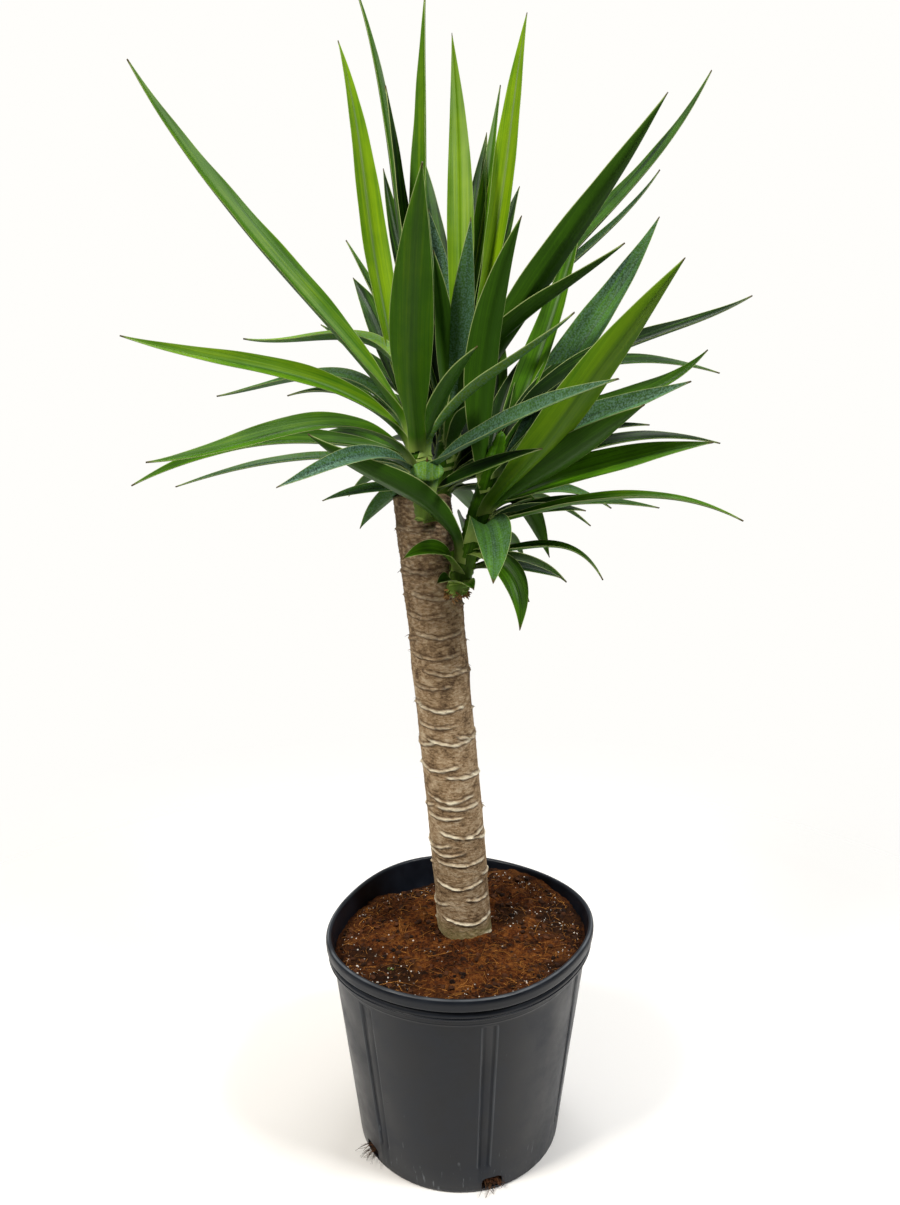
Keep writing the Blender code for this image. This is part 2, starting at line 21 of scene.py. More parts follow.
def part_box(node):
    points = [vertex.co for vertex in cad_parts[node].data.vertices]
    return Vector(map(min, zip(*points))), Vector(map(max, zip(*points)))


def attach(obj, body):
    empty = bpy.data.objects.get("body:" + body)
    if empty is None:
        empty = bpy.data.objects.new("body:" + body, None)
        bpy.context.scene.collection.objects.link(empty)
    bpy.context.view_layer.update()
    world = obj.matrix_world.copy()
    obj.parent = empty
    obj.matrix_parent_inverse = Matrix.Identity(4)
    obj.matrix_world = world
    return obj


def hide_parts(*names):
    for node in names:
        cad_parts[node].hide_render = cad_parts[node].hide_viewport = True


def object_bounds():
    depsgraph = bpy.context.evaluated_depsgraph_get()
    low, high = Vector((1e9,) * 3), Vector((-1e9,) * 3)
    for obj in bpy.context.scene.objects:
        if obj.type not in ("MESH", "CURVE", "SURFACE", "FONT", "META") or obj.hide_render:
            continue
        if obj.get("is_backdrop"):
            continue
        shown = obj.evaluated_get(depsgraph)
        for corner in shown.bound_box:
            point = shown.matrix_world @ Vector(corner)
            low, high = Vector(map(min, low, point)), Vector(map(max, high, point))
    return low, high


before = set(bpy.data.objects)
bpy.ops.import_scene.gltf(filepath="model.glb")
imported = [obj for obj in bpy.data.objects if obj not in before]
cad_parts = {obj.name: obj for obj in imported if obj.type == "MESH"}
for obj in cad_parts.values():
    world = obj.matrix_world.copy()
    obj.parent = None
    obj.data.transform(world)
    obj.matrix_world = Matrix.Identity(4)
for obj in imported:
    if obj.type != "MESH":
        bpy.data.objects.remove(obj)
CAD_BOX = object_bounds()

MM = 0.001
BODY = "root"
GOLDEN_ANGLE = 137.5
LOG = logging.getLogger("yucca")

Array = np.ndarray
Piece = bpy.types.Object
Socket = bpy.types.NodeSocket


# Tools that every piece uses


def linear(hex_colour: str) -> tuple[float, ...]:
    """Turns six sRGB hex digits, such as "6A9A12", into linear red, green, blue and alpha."""
    shares = [int(hex_colour[i : i + 2], 16) / 255 for i in (0, 2, 4)]
    return (*(s / 12.92 if s <= 0.04045 else ((s + 0.055) / 1.055) ** 2.4 for s in shares), 1.0)


def blend(ends: tuple, share: float | Array) -> float | Array:
    """A value between two ends."""
    return ends[0] + (ends[1] - ends[0]) * share


def ease(low: float, high: float, value: float | Array) -> Array:
    """Rises smoothly from 0 at low to 1 at high."""
    share = np.clip((np.asarray(value, float) - low) / (high - low), 0, 1)
    return share * share * (3 - 2 * share)


def smooth_curve(stations: tuple, places: Array) -> Array:
    """A smooth line through stations of place and value.

    Args:
        stations: pairs of place and value, in order.
        places: where the line is read.

    Returns:
        The values there.
    """
    x, y = (np.array(column, float) for column in zip(*stations))
    slopes = np.gradient(y, x)
    i = np.clip(np.searchsorted(x, places, side="right") - 1, 0, len(x) - 2)
    width = x[i + 1] - x[i]
    t = np.clip((places - x[i]) / width, 0, 1)
    start = (2 * t**3 - 3 * t**2 + 1) * y[i] + (t**3 - 2 * t**2 + t) * width * slopes[i]
    return start + (3 * t**2 - 2 * t**3) * y[i + 1] + (t**3 - t**2) * width * slopes[i + 1]


def polar(points: Array) -> tuple[Array, Array]:
    """Each point's distance from the Z axis, and the way that it lies from there, in degrees."""
    return np.hypot(points[:, 0], points[:, 1]), np.degrees(np.arctan2(points[:, 1], points[:, 0]))


def apart(turn: float | Array, other: float) -> float | Array:
    """How many degrees lie between two turns, the short way round."""
    return abs((turn - other + 180) % 360 - 180)


def roughness_at(points: Array, grain: float) -> Array:
    """Noise between about -1 and 1 at each point, with lumps of the grain's size in millimetres."""
    return np.array([noise.noise(Vector(point)) for point in points / grain])


def read_points(piece: Piece) -> Array:
    """The piece's vertices as an array of millimetres."""
    flat = np.empty(len(piece.data.vertices) * 3)
    piece.data.vertices.foreach_get("co", flat)
    return flat.reshape(-1, 3)


def write_points(piece: Piece, points: Array) -> None:
    """Moves the piece's vertices."""
    piece.data.vertices.foreach_set("co", points.ravel())
    piece.data.update()


def write_attributes(piece: Piece, **attributes: Array) -> None:
    """Stores for each vertex, under each name, a number or three numbers for a material to read."""
    for name, values in attributes.items():
        kind, key = ("FLOAT", "value") if values.ndim == 1 else ("FLOAT_VECTOR", "vector")
        layer = piece.data.attributes.new(name, kind, "POINT")
        layer.data.foreach_set(key, np.ascontiguousarray(values, np.float32).ravel())


def take(piece: Piece) -> None:
    """Makes a piece the only selected and the active one."""
    bpy.ops.object.select_all(action="DESELECT")
    piece.select_set(True)
    bpy.context.view_layer.objects.active = piece


def added() -> Piece:
    """The primitive that was added last, with its place in its mesh."""
    bpy.ops.object.transform_apply(location=True, rotation=True, scale=True)
    return bpy.context.view_layer.objects.active


@contextmanager
def editing(piece: Piece, action: str = "SELECT") -> Iterator[None]:
    """Edit mode on one piece, with all or nothing selected in it.

    Args:
        piece: the piece to edit.
        action: SELECT or DESELECT, for all of it at the start.

    Yields:
        Nothing, once the piece is in edit mode.
    """
    take(piece)
    bpy.ops.object.mode_set(mode="EDIT")
    bpy.ops.mesh.select_all(action=action)
    yield
    bpy.ops.object.mode_set(mode="OBJECT")


def pick(piece: Piece, kind: str, wanted: Callable[[object], bool]) -> None:
    """Selects parts of a piece that is in edit mode.

    Args:
        piece: the piece.
        kind: edges or faces.
        wanted: says of each part whether it is selected.
    """
    bpy.ops.mesh.select_mode(type=kind[:-1].upper())
    mesh = bmesh.from_edit_mesh(piece.data)
    for part in getattr(mesh, kind):
        part.select_set(wanted(part))
    mesh.select_flush_mode()
    bmesh.update_edit_mesh(piece.data)


def reaches(axis: int, least: float) -> Callable[[object], bool]:
    """Says of an edge whether it reaches further than a least length along an axis."""
    return lambda edge: abs(edge.verts[0].co[axis] - edge.verts[1].co[axis]) > least


def close_and_turn_out(piece: Piece, distance: float = 0.001) -> None:
    """Merges doubled points and turns every face outwards."""
    with editing(piece):
        bpy.ops.mesh.remove_doubles(threshold=distance)
        bpy.ops.mesh.normals_make_consistent(inside=False)


def cut_away(piece: Piece, tools: list[Piece]) -> None:
    """Cuts tools out of a piece and removes them.

    Args:
        piece: the piece to cut.
        tools: the closed shapes to cut out of it.
    """
    for tool in tools:
        step = piece.modifiers.new("Cut", "BOOLEAN")
        step.operation, step.object, step.solver = "DIFFERENCE", tool, "EXACT"
    take(piece)
    for step in list(piece.modifiers):
        bpy.ops.object.modifier_apply(modifier=step.name)
    for tool in tools:
        bpy.data.objects.remove(tool, do_unlink=True)


def join(pieces: list[Piece]) -> Piece:
    """Joins pieces into the first of them.

    Args:
        pieces: the pieces; the first one stays.

    Returns:
        The first piece, which now holds them all.
    """
    take(pieces[0])
    for piece in pieces[1:]:
        piece.select_set(True)
    bpy.ops.object.join()
    return pieces[0]


@dataclass
class Master:
    """A shape that is modelled once, and its copies, which are laid out by code.

    Args:
        points: its vertices.
        faces: the vertices of each face.
    """

    points: Array
    faces: list[tuple[int, ...]]

    @classmethod
    def taken_from(cls, piece: Piece) -> "Master":
        """Reads a modelled piece and removes it."""
        made = cls(read_points(piece), [tuple(face.vertices) for face in piece.data.polygons])
        bpy.data.objects.remove(piece, do_unlink=True)
        return made

    def copied(self, name: str, copies: list[Array], shades: tuple | list = ()) -> Piece:
        """Makes one piece of copies, each with its own points.

        Args:
            name: the piece's name.
            copies: the points of each copy, in the master's order.
            shades: how light each copy is, from 0 to 1, where its material reads that.

        Returns:
            The piece.
        """
        step = len(self.points)
        faces = [tuple(i + k * step for i in face) for k in range(len(copies)) for face in self.faces]
        mesh = bpy.data.meshes.new(name)
        mesh.from_pydata(np.concatenate(copies).tolist(), [], faces)
        piece = bpy.data.objects.new(name, mesh)
        bpy.context.collection.objects.link(piece)
        if len(shades):
            write_attributes(piece, shade=np.repeat(shades, step))
        return piece


def settle(
    piece: Piece,
    name: str,
    finish: bpy.types.Material,
    replaced: str = "",
    sharp_degrees: float = 40,
) -> Piece:
    """Finishes a piece: metres, smooth shading, its material, and its place in the frame.

    Args:
        piece: the piece, in millimetres, at the origin.
        name: what it is called.
        finish: its material.
        replaced: the solid that it stands for, if any.
        sharp_degrees: edges sharper than this stay sharp.

    Returns:
        The piece.
    """
    piece.name = piece.data.name = name
    piece.data.transform(Matrix.Scale(MM, 4))
    take(piece)
    bpy.ops.object.shade_smooth_by_angle(angle=math.radians(sharp_degrees))
    piece.data.materials.clear()
    piece.data.materials.append(finish)
    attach(piece, BODY)
    if replaced:
        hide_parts(replaced)
    LOG.info("%s: %d triangles", name, sum(len(face.vertices) - 2 for face in piece.data.polygons))
    return piece


# Finishes


@dataclass
class Nodes:
    """A node tree, as it is built up.

    Args:
        tree: the tree of a material or of the surroundings.
    """

    tree: bpy.types.NodeTree

    def feed(self, node: bpy.types.Node, inputs: dict) -> None:
        """Gives sockets, by name or number, a value, a hex colour or an output to link.

        Args:
            node: the node.
            inputs: what each of its sockets is fed.
        """
        for key, value in inputs.items():
            if isinstance(value, Socket):
                self.tree.links.new(value, node.inputs[key])
            else:
                node.inputs[key].default_value = linear(value) if isinstance(value, str) else value

    def add(self, kind: str, out: str | int, inputs: dict, stops: tuple = (), **settings: object) -> Socket:
        """Adds a node with its settings and links.

        Args:
            kind: Blender's name for the kind of node, without its ShaderNode prefix.
            out: the output that is wanted, by name or number.
            inputs: what each of its sockets is fed.
            stops: for a colour ramp, its places and hex colours, the two ends first.
            settings: the node's own properties.

        Returns:
            The output.
        """
        node = self.tree.nodes.new(f"ShaderNode{kind}")
        for name, value in settings.items():
            setattr(node, name, value)
        self.feed(node, inputs)
        for i, (place, colour) in enumerate(stops):
            points = node.color_ramp.elements
            point = points[i] if i < 2 else points.new(place)
            point.position, point.color = place, linear(colour)
        return node.outputs[out]


def lumps(place: Socket, size_mm: float, detail: float, roughness: float = 0.5) -> dict:
    """What a noise of lumps of a real size is fed; the size is 1 / MM where the place is already scaled."""
    return {"Vector": place, "Scale": 1 / (size_mm * MM), "Detail": detail, "Roughness": roughness}


def span(value: Socket, low: float, high: float, to_low: float = 0.0, to_high: float = 1.0) -> dict:
    """What a map of one range to another is fed."""
    return {"Value": value, "From Min": low, "From Max": high, "To Min": to_low, "To Max": to_high}


class Finish:
    """What all finishes share: each gives the sockets of its Principled shader."""

    name: str

    def material(self) -> bpy.types.Material:
        """Builds the material, with a second shader mixed in where the sockets name one."""
        made = bpy.data.materials.new(self.name)
        made.use_nodes = True
        nodes = Nodes(made.node_tree)
        shader = nodes.tree.nodes["Principled BSDF"]
        sockets = self.sockets(nodes, nodes.add("TexCoord", "Object", {}))
        second = sockets.pop("second", None)
        nodes.feed(shader, sockets)
        if second:
            both = nodes.add("MixShader", 0, {0: second[0], 1: shader.outputs[0], 2: second[1]})
            nodes.feed(nodes.tree.nodes["Material Output"], {"Surface": both})
        return made


@dataclass(frozen=True)
class CanPlastic(Finish):
    """Black blow-moulded polyethylene: satin, a little waxy, scuffed pale and dusty where it was handled,
    with painted highlight on its channel edges and rim top and painted shade in its creases.
    """

    name: str = "can_plastic_black_polyethylene"
    body: str = "090E16"
    worn: str = "181E28"
    scuff: str = "868C92"
    wear_mm: float = 38
    grain_mm: float = 0.9  # moulding grain, drawn coarser than the real 0.3 mm so that it shows
    scratch_mm: float = 2.2
    scratch_run: float = 22.0  # scratches to a metre of height
    dusty_foot: tuple = (0.075, 0.0, 0.0, 0.14)  # heights in metres, and how much more scuffed
    worn_range: tuple = (0.42, 0.72, 0.0, 0.75)
    scuff_range: tuple = (0.74, 0.9, 0.0, 0.55)
    rough_range: tuple = (0.3, 0.75, 0.27, 0.56)
    sheens: tuple = (0.27, 0.04)  # clean, and in grime and painted crease shade

    def sockets(self, nodes: Nodes, place: Socket) -> dict:
        """Wears the plastic in patches, scratches it upright, pales its channel edges and rim top as scuffs
        and painted highlight, and dulls its creases as grime and painted shade.

        Args:
            nodes: the material's nodes.
            place: the place on the piece, in metres.

        Returns:
            What each socket of the shader is fed.
        """
        add = nodes.add
        wear = add("TexNoise", "Fac", lumps(place, self.wear_mm, 5.0, 0.62))
        worn = add("MapRange", 0, span(wear, *self.worn_range))
        base = add("Mix", 2, {0: worn, 6: self.body, 7: self.worn}, data_type="RGBA")
        scale = (1 / (self.scratch_mm * MM),) * 2 + (self.scratch_run,)
        upright = add("Mapping", 0, {"Vector": place, "Scale": scale})
        streak = add("TexNoise", "Fac", lumps(upright, 1 / MM, 3.0))
        height = add("SeparateXYZ", "Z", {"Vector": place})
        low = add("MapRange", 0, span(height, *self.dusty_foot))
        lifted = add("Math", 0, {0: streak, 1: low}, operation="ADD")
        scuffed = add("MapRange", 0, span(lifted, *self.scuff_range))
        # The wear attribute holds pale lines (scuffs and painted highlight) and dulled creases (grime and
        # painted shade).
        marks = add("Attribute", "Vector", {}, attribute_name="wear")
        pale, dirt_and_crease_shade, _ = add("SeparateXYZ", 0, {"Vector": marks}).node.outputs
        rubbed_and_highlit = add("Math", 0, {0: scuffed, 1: pale}, operation="MAXIMUM")
        grain = add("TexNoise", "Fac", lumps(place, self.grain_mm, 2.0))
        # The sheen is dulled in the creases: grime, and painted shade.
        return {
            "Base Color": add("Mix", 2, {0: rubbed_and_highlit, 6: base, 7: self.scuff}, data_type="RGBA"),
            "Specular IOR Level": add("MapRange", 0, span(dirt_and_crease_shade, 0.0, 1.0, *self.sheens)),
            "Roughness": add("MapRange", 0, span(wear, *self.rough_range)),
            "Normal": add("Bump", 0, {"Height": grain, "Strength": 0.12, "Distance": 0.2 * MM}),
            "IOR": 1.51,
        }


@dataclass(frozen=True)
class CoirSoil(Finish):
    """Damp coir and bark dust: red-brown, crumbly, matt, going to near-black peat in patches."""

    name: str = "coir_potting_mix"
    fibre_dark: str = "1C0D05"
    fibre_mid: str = "4F280F"
    fibre_light: str = "7A4A20"
    peat: str = "1A100A"
    peat_share: float = 0.85
    crumb_mm: float = 4.2
    patch_mm: float = 26
    patch_share: float = 0.6
    grit_mm: float = 1.1

    def sockets(self, nodes: Nodes, place: Socket) -> dict:
        """Colours the crumbs by their patches, and lays the peat over them.

        Args:
            nodes: the material's nodes.
            place: the place on the piece, in metres.

        Returns:
            What each socket of the shader is fed.
        """
        add = nodes.add
        crumb = add("TexNoise", "Fac", lumps(place, self.crumb_mm, 6.0, 0.75))
        patch = add("TexNoise", "Fac", lumps(place, self.patch_mm, 3.0))
        both = add("Math", 0, {0: patch, 1: self.patch_share, 2: crumb}, operation="MULTIPLY_ADD")
        stops = ((0.66, self.fibre_dark), (0.98, self.fibre_light), (0.8, self.fibre_mid))
        fibre = add("ValToRGB", "Color", {"Fac": both}, stops)
        peat = add("Attribute", "Fac", {}, attribute_name="peat")
        peat = add("Math", 0, {0: peat, 1: self.peat_share}, operation="MULTIPLY")
        grit = add("TexVoronoi", "Distance", {"Vector": place, "Scale": 1 / (self.grit_mm * MM)})
        height = add("Math", 0, {0: crumb, 1: grit}, operation="SUBTRACT")
        return {
            "Base Color": add("Mix", 2, {0: peat, 6: fibre, 7: self.peat}, data_type="RGBA"),
            "Normal": add("Bump", 0, {"Height": height, "Strength": 0.9, "Distance": 1.2 * MM}),
            "Roughness": 0.95,
            "Specular IOR Level": 0.08,
        }


@dataclass(frozen=True)
class LooseBits(Finish):
    """Coir strands, bark crumbs, roots and perlite: dry, matt, and each one of its own shade."""

    name: str
    dark: str
    light: str
    roughness: float = 0.85
    fleck_mm: float = 10 / 9
    fleck_strength: float = 0.35
    fleck_middle: float = 0.17  # about half the strength, so that the flecks leave the mean shade alone

    def sockets(self, nodes: Nodes, place: Socket) -> dict:
        """Reads each bit's shade and flecks it.

        Args:
            nodes: the material's nodes.
            place: the place on the piece, in metres.

        Returns:
            What each socket of the shader is fed.
        """
        add = nodes.add
        shade = add("Attribute", "Fac", {}, attribute_name="shade")
        fleck = add("TexNoise", "Fac", lumps(place, self.fleck_mm, 2.0))
        mixed = add("Math", 0, {0: fleck, 1: self.fleck_strength, 2: shade}, operation="MULTIPLY_ADD")
        share = add("Math", 0, {0: mixed, 1: self.fleck_middle}, operation="SUBTRACT", use_clamp=True)
        return {
            "Base Color": add("Mix", 2, {0: share, 6: self.dark, 7: self.light}, data_type="RGBA"),
            "Roughness": self.roughness,
            "Specular IOR Level": 0.15,
        }


@dataclass(frozen=True)
class CaneBark(Finish):
    """Corky yucca bark: dry, grey-brown and matt, wrinkled across, with pale lips where leaves came away."""

    name: str = "yucca_cane_bark"
    shadow: str = "4E3A28"
    brown: str = "9E8361"
    grey: str = "CAB698"
    scar: str = "E9E0C6"
    green: str = "7A7A48"
    blotch_mm: float = 16
    wrinkle_mm: float = 5
    wrinkle_flatness: float = 2.6
    wrinkle_depth: float = 1.6  # to the cork's
    cork_mm: float = 1.6

    def sockets(self, nodes: Nodes, place: Socket) -> dict:
        """Blotches and wrinkles the bark, then lays its shadows, green foot and scars over that.

        Args:
            nodes: the material's nodes.
            place: the place on the piece, in metres.

        Returns:
            What each socket of the shader is fed.
        """
        add = nodes.add
        blotch = add("TexNoise", "Fac", lumps(place, self.blotch_mm, 6.0, 0.7))
        size = self.wrinkle_mm * MM
        scale = (1 / size, 1 / size, self.wrinkle_flatness / size)
        flat = add("Mapping", 0, {"Vector": place, "Scale": scale})
        wrinkle = add("TexNoise", "Fac", lumps(flat, 1 / MM, 6.0, 0.72))
        both = add("Math", 0, {0: blotch, 1: wrinkle}, operation="ADD")
        both = add("Math", 0, {0: both, 1: 0.5}, operation="MULTIPLY")
        stops = ((0.39, self.shadow), (0.61, self.grey), (0.5, self.brown))
        colour = add("ValToRGB", "Color", {"Fac": both}, stops)
        marks = add("Attribute", "Vector", {}, attribute_name="bark")
        pale, shadow, green = add("SeparateXYZ", 0, {"Vector": marks}).node.outputs
        for share, over in ((shadow, self.shadow), (green, self.green), (pale, self.scar)):
            colour = add("Mix", 2, {0: share, 6: colour, 7: over}, data_type="RGBA")
        cork = add("TexNoise", "Fac", lumps(place, self.cork_mm, 4.0))
        height = add("Math", 0, {0: wrinkle, 1: self.wrinkle_depth, 2: cork}, operation="MULTIPLY_ADD")
        return {
            "Base Color": colour,
            "Normal": add("Bump", 0, {"Height": height, "Strength": 0.8, "Distance": 0.9 * MM}),
            "Roughness": 0.88,
            "Specular IOR Level": 0.3,
        }


@dataclass(frozen=True)
class LeafSkin(Finish):
    """Living yucca leaf: tough, waxy and channelled, letting light through where it is young.

    The wax gives a soft sheen, the veins fine lines along the leaf, and the margin a thin pale edge.
    """

    name: str = "yucca_leaf"
    dark: str = "0F2603"
    mid: str = "447208"
    bright: str = "7FA20E"
    bloom_and_sheen: str = "6F9484"
    # A grey-blue overlay: a waxy film, and a painted sheen.
    back: str = "44701A"
    pale: str = "9DB45A"
    margin: str = "BCCB84"
    tip: str = "4E3A22"
    glow_dark: str = "2E6A04"
    glow_bright: str = "A8D408"
    veins: tuple = (0.9, 0.011, 1.0)  # width in millimetres, waves to a millimetre of length, detail
    stripes: tuple = (4.6, 0.0035, 2.0)
    patch_mm: float = 30
    strengths: tuple = (0.5, 1.0, 0.5)  # of veins, stripes and patches
    speck_mm: float = 1.7
    speck_range: tuple = (0.42, 0.62, 0.12, 0.7)
    midrib: tuple = (1.1, 0.0, 0.0, 0.35)  # millimetres from the middle, and how much of its colour
    base: tuple = (16, 2.0, 0.0, 0.7)  # millimetres from the root
    rim: tuple = (0.5, 0.1, 0.0, 0.65)  # millimetres from the margin
    needle: tuple = (6, 1.5, 0.0, 0.9)  # millimetres from the tip
    back_share: float = 0.5
    stripe_ridge: float = 4.0
    roughnesses: tuple = (0.4, 0.55)  # green, and under the waxy film and painted sheen
    glows: tuple = (0.03, 0.14)  # how much light the darkest and the brightest green let through

    def sockets(self, nodes: Nodes, place: Socket) -> dict:
        """Shades the green along the leaf, and lays its rib, back, waxy film and painted sheen, base, margin
        and tip over that.

        Args:
            nodes: the material's nodes.
            place: the place on the piece, in metres.

        Returns:
            What each socket of the shader is fed.
        """
        add = nodes.add
        blade = add("Attribute", "Vector", {}, attribute_name="blade")
        across, along, to_tip = add("SeparateXYZ", 0, {"Vector": blade}).node.outputs
        skin = add("Attribute", "Vector", {}, attribute_name="skin")
        shade, bloom_and_sheen, edge = add("SeparateXYZ", 0, {"Vector": skin}).node.outputs
        underside = add("Attribute", "Fac", {}, attribute_name="underside")
        patterns = []
        for width, run, detail in (self.veins, self.stripes):
            line = add("Mapping", 0, {"Vector": blade, "Scale": (1 / width, run, 0.0)})
            patterns.append(add("TexNoise", "Fac", lumps(line, 1 / MM, detail)))
        vein, stripe = patterns
        patterns.append(add("TexNoise", "Fac", lumps(place, self.patch_mm, 3.0)))
        for pattern, strength in zip(patterns, self.strengths):
            centred = add("Math", 0, {0: pattern, 1: 0.5}, operation="SUBTRACT")
            shade = add("Math", 0, {0: centred, 1: strength, 2: shade}, operation="MULTIPLY_ADD")
        shade = add("Math", 0, {0: shade, 1: 0.0}, operation="ADD", use_clamp=True)
        stops = ((0.0, self.dark), (1.0, self.bright), (0.5, self.mid))
        colour = add("ValToRGB", "Color", {"Fac": shade}, stops)
        from_middle = add("Math", 0, {0: across}, operation="ABSOLUTE")
        speck = add("TexNoise", "Fac", lumps(place, self.speck_mm, 2.0))
        speckled = add("MapRange", 0, span(speck, *self.speck_range))
        # Speckled grey-blue over the green: a waxy film, and a painted sheen.
        bloom_and_sheen_share = add("Math", 0, {0: speckled, 1: bloom_and_sheen}, operation="MULTIPLY")
        for share, over in (
            (add("MapRange", 0, span(from_middle, *self.midrib)), self.dark),
            (add("Math", 0, {0: underside, 1: self.back_share}, operation="MULTIPLY"), self.back),
            (bloom_and_sheen_share, self.bloom_and_sheen),
            (add("MapRange", 0, span(along, *self.base), interpolation_type="SMOOTHSTEP"), self.pale),
            (add("MapRange", 0, span(edge, *self.rim)), self.margin),
            (add("MapRange", 0, span(to_tip, *self.needle)), self.tip),
        ):
            colour = add("Mix", 2, {0: share, 6: colour, 7: over}, data_type="RGBA")
        ridges = add("Math", 0, {0: stripe, 1: self.stripe_ridge, 2: vein}, operation="MULTIPLY_ADD")
        bump = add("Bump", 0, {"Height": ridges, "Strength": 0.4, "Distance": 0.3 * MM})
        glow = add("Mix", 2, {0: shade, 6: self.glow_dark, 7: self.glow_bright}, data_type="RGBA")
        through = add("BsdfTranslucent", 0, {"Color": glow, "Normal": bump})
        return {
            "Base Color": colour,
            "Roughness": add("MapRange", 0, span(bloom_and_sheen_share, 0.0, 0.7, *self.roughnesses)),
            "Normal": bump,
            "IOR": 1.42,
            "Specular IOR Level": 0.14,
            "second": (add("MapRange", 0, span(shade, 0.0, 1.0, *self.glows)), through),
        }


@dataclass(frozen=True)
class SawnWood(Finish):
    """The cane's sawn end: dry, pale and fibrous, darker in specks."""

    name: str = "sawn_yucca_wood"
    pale: str = "A58A60"
    dark: str = "6A5238"
    fibre_mm: float = 10 / 7
    specks: tuple = (0.35, 0.65)

    def sockets(self, nodes: Nodes, place: Socket) -> dict:
        """Speckles the wood with its fibres' ends.

        Args:
            nodes: the material's nodes.
            place: the place on the piece, in metres.

        Returns:
            What each socket of the shader is fed.
        """
        speckle = nodes.add("TexNoise", "Fac", lumps(place, self.fibre_mm, 4.0))
        share = nodes.add("MapRange", 0, span(speckle, *self.specks))
        return {
            "Base Color": nodes.add("Mix", 2, {0: share, 6: self.dark, 7: self.pale}, data_type="RGBA"),
            "Normal": nodes.add("Bump", 0, {"Height": speckle, "Strength": 0.6, "Distance": 0.5 * MM}),
            "Roughness": 0.9,
        }


@dataclass(frozen=True)
class StudioFloor(Finish):
    """A plain pale painted floor: matt and even, so that only soft shade shows on it.

    It fades out away from the plant, into the pale surroundings.
    """

    name: str = "studio_floor_paint"
    paint: str = "F8F6F3"
    cloud_mm: float = 2000 / 3
    roughnesses: tuple = (0.75, 0.85)
    faded: tuple = (0.35, 1.3)  # metres from the can at which the fading starts and ends

    def sockets(self, nodes: Nodes, place: Socket) -> dict:
        """Clouds the paint a little, and fades it out.

        Args:
            nodes: the material's nodes.
            place: the place on the piece, in metres.

        Returns:
            What each socket of the shader is fed.
        """
        cloud = nodes.add("TexNoise", "Fac", lumps(place, self.cloud_mm, 2.0))
        far = nodes.add("VectorMath", "Value", {0: place}, operation="LENGTH")
        faded = nodes.add("MapRange", 0, span(far, *self.faded), interpolation_type="SMOOTHSTEP")
        return {
            "Base Color": self.paint,
            "Roughness": nodes.add("MapRange", 0, span(cloud, 0.0, 1.0, *self.roughnesses)),
            "Specular IOR Level": 0.2,
            "second": (faded, nodes.add("BsdfTransparent", 0, {})),
        }


# The can


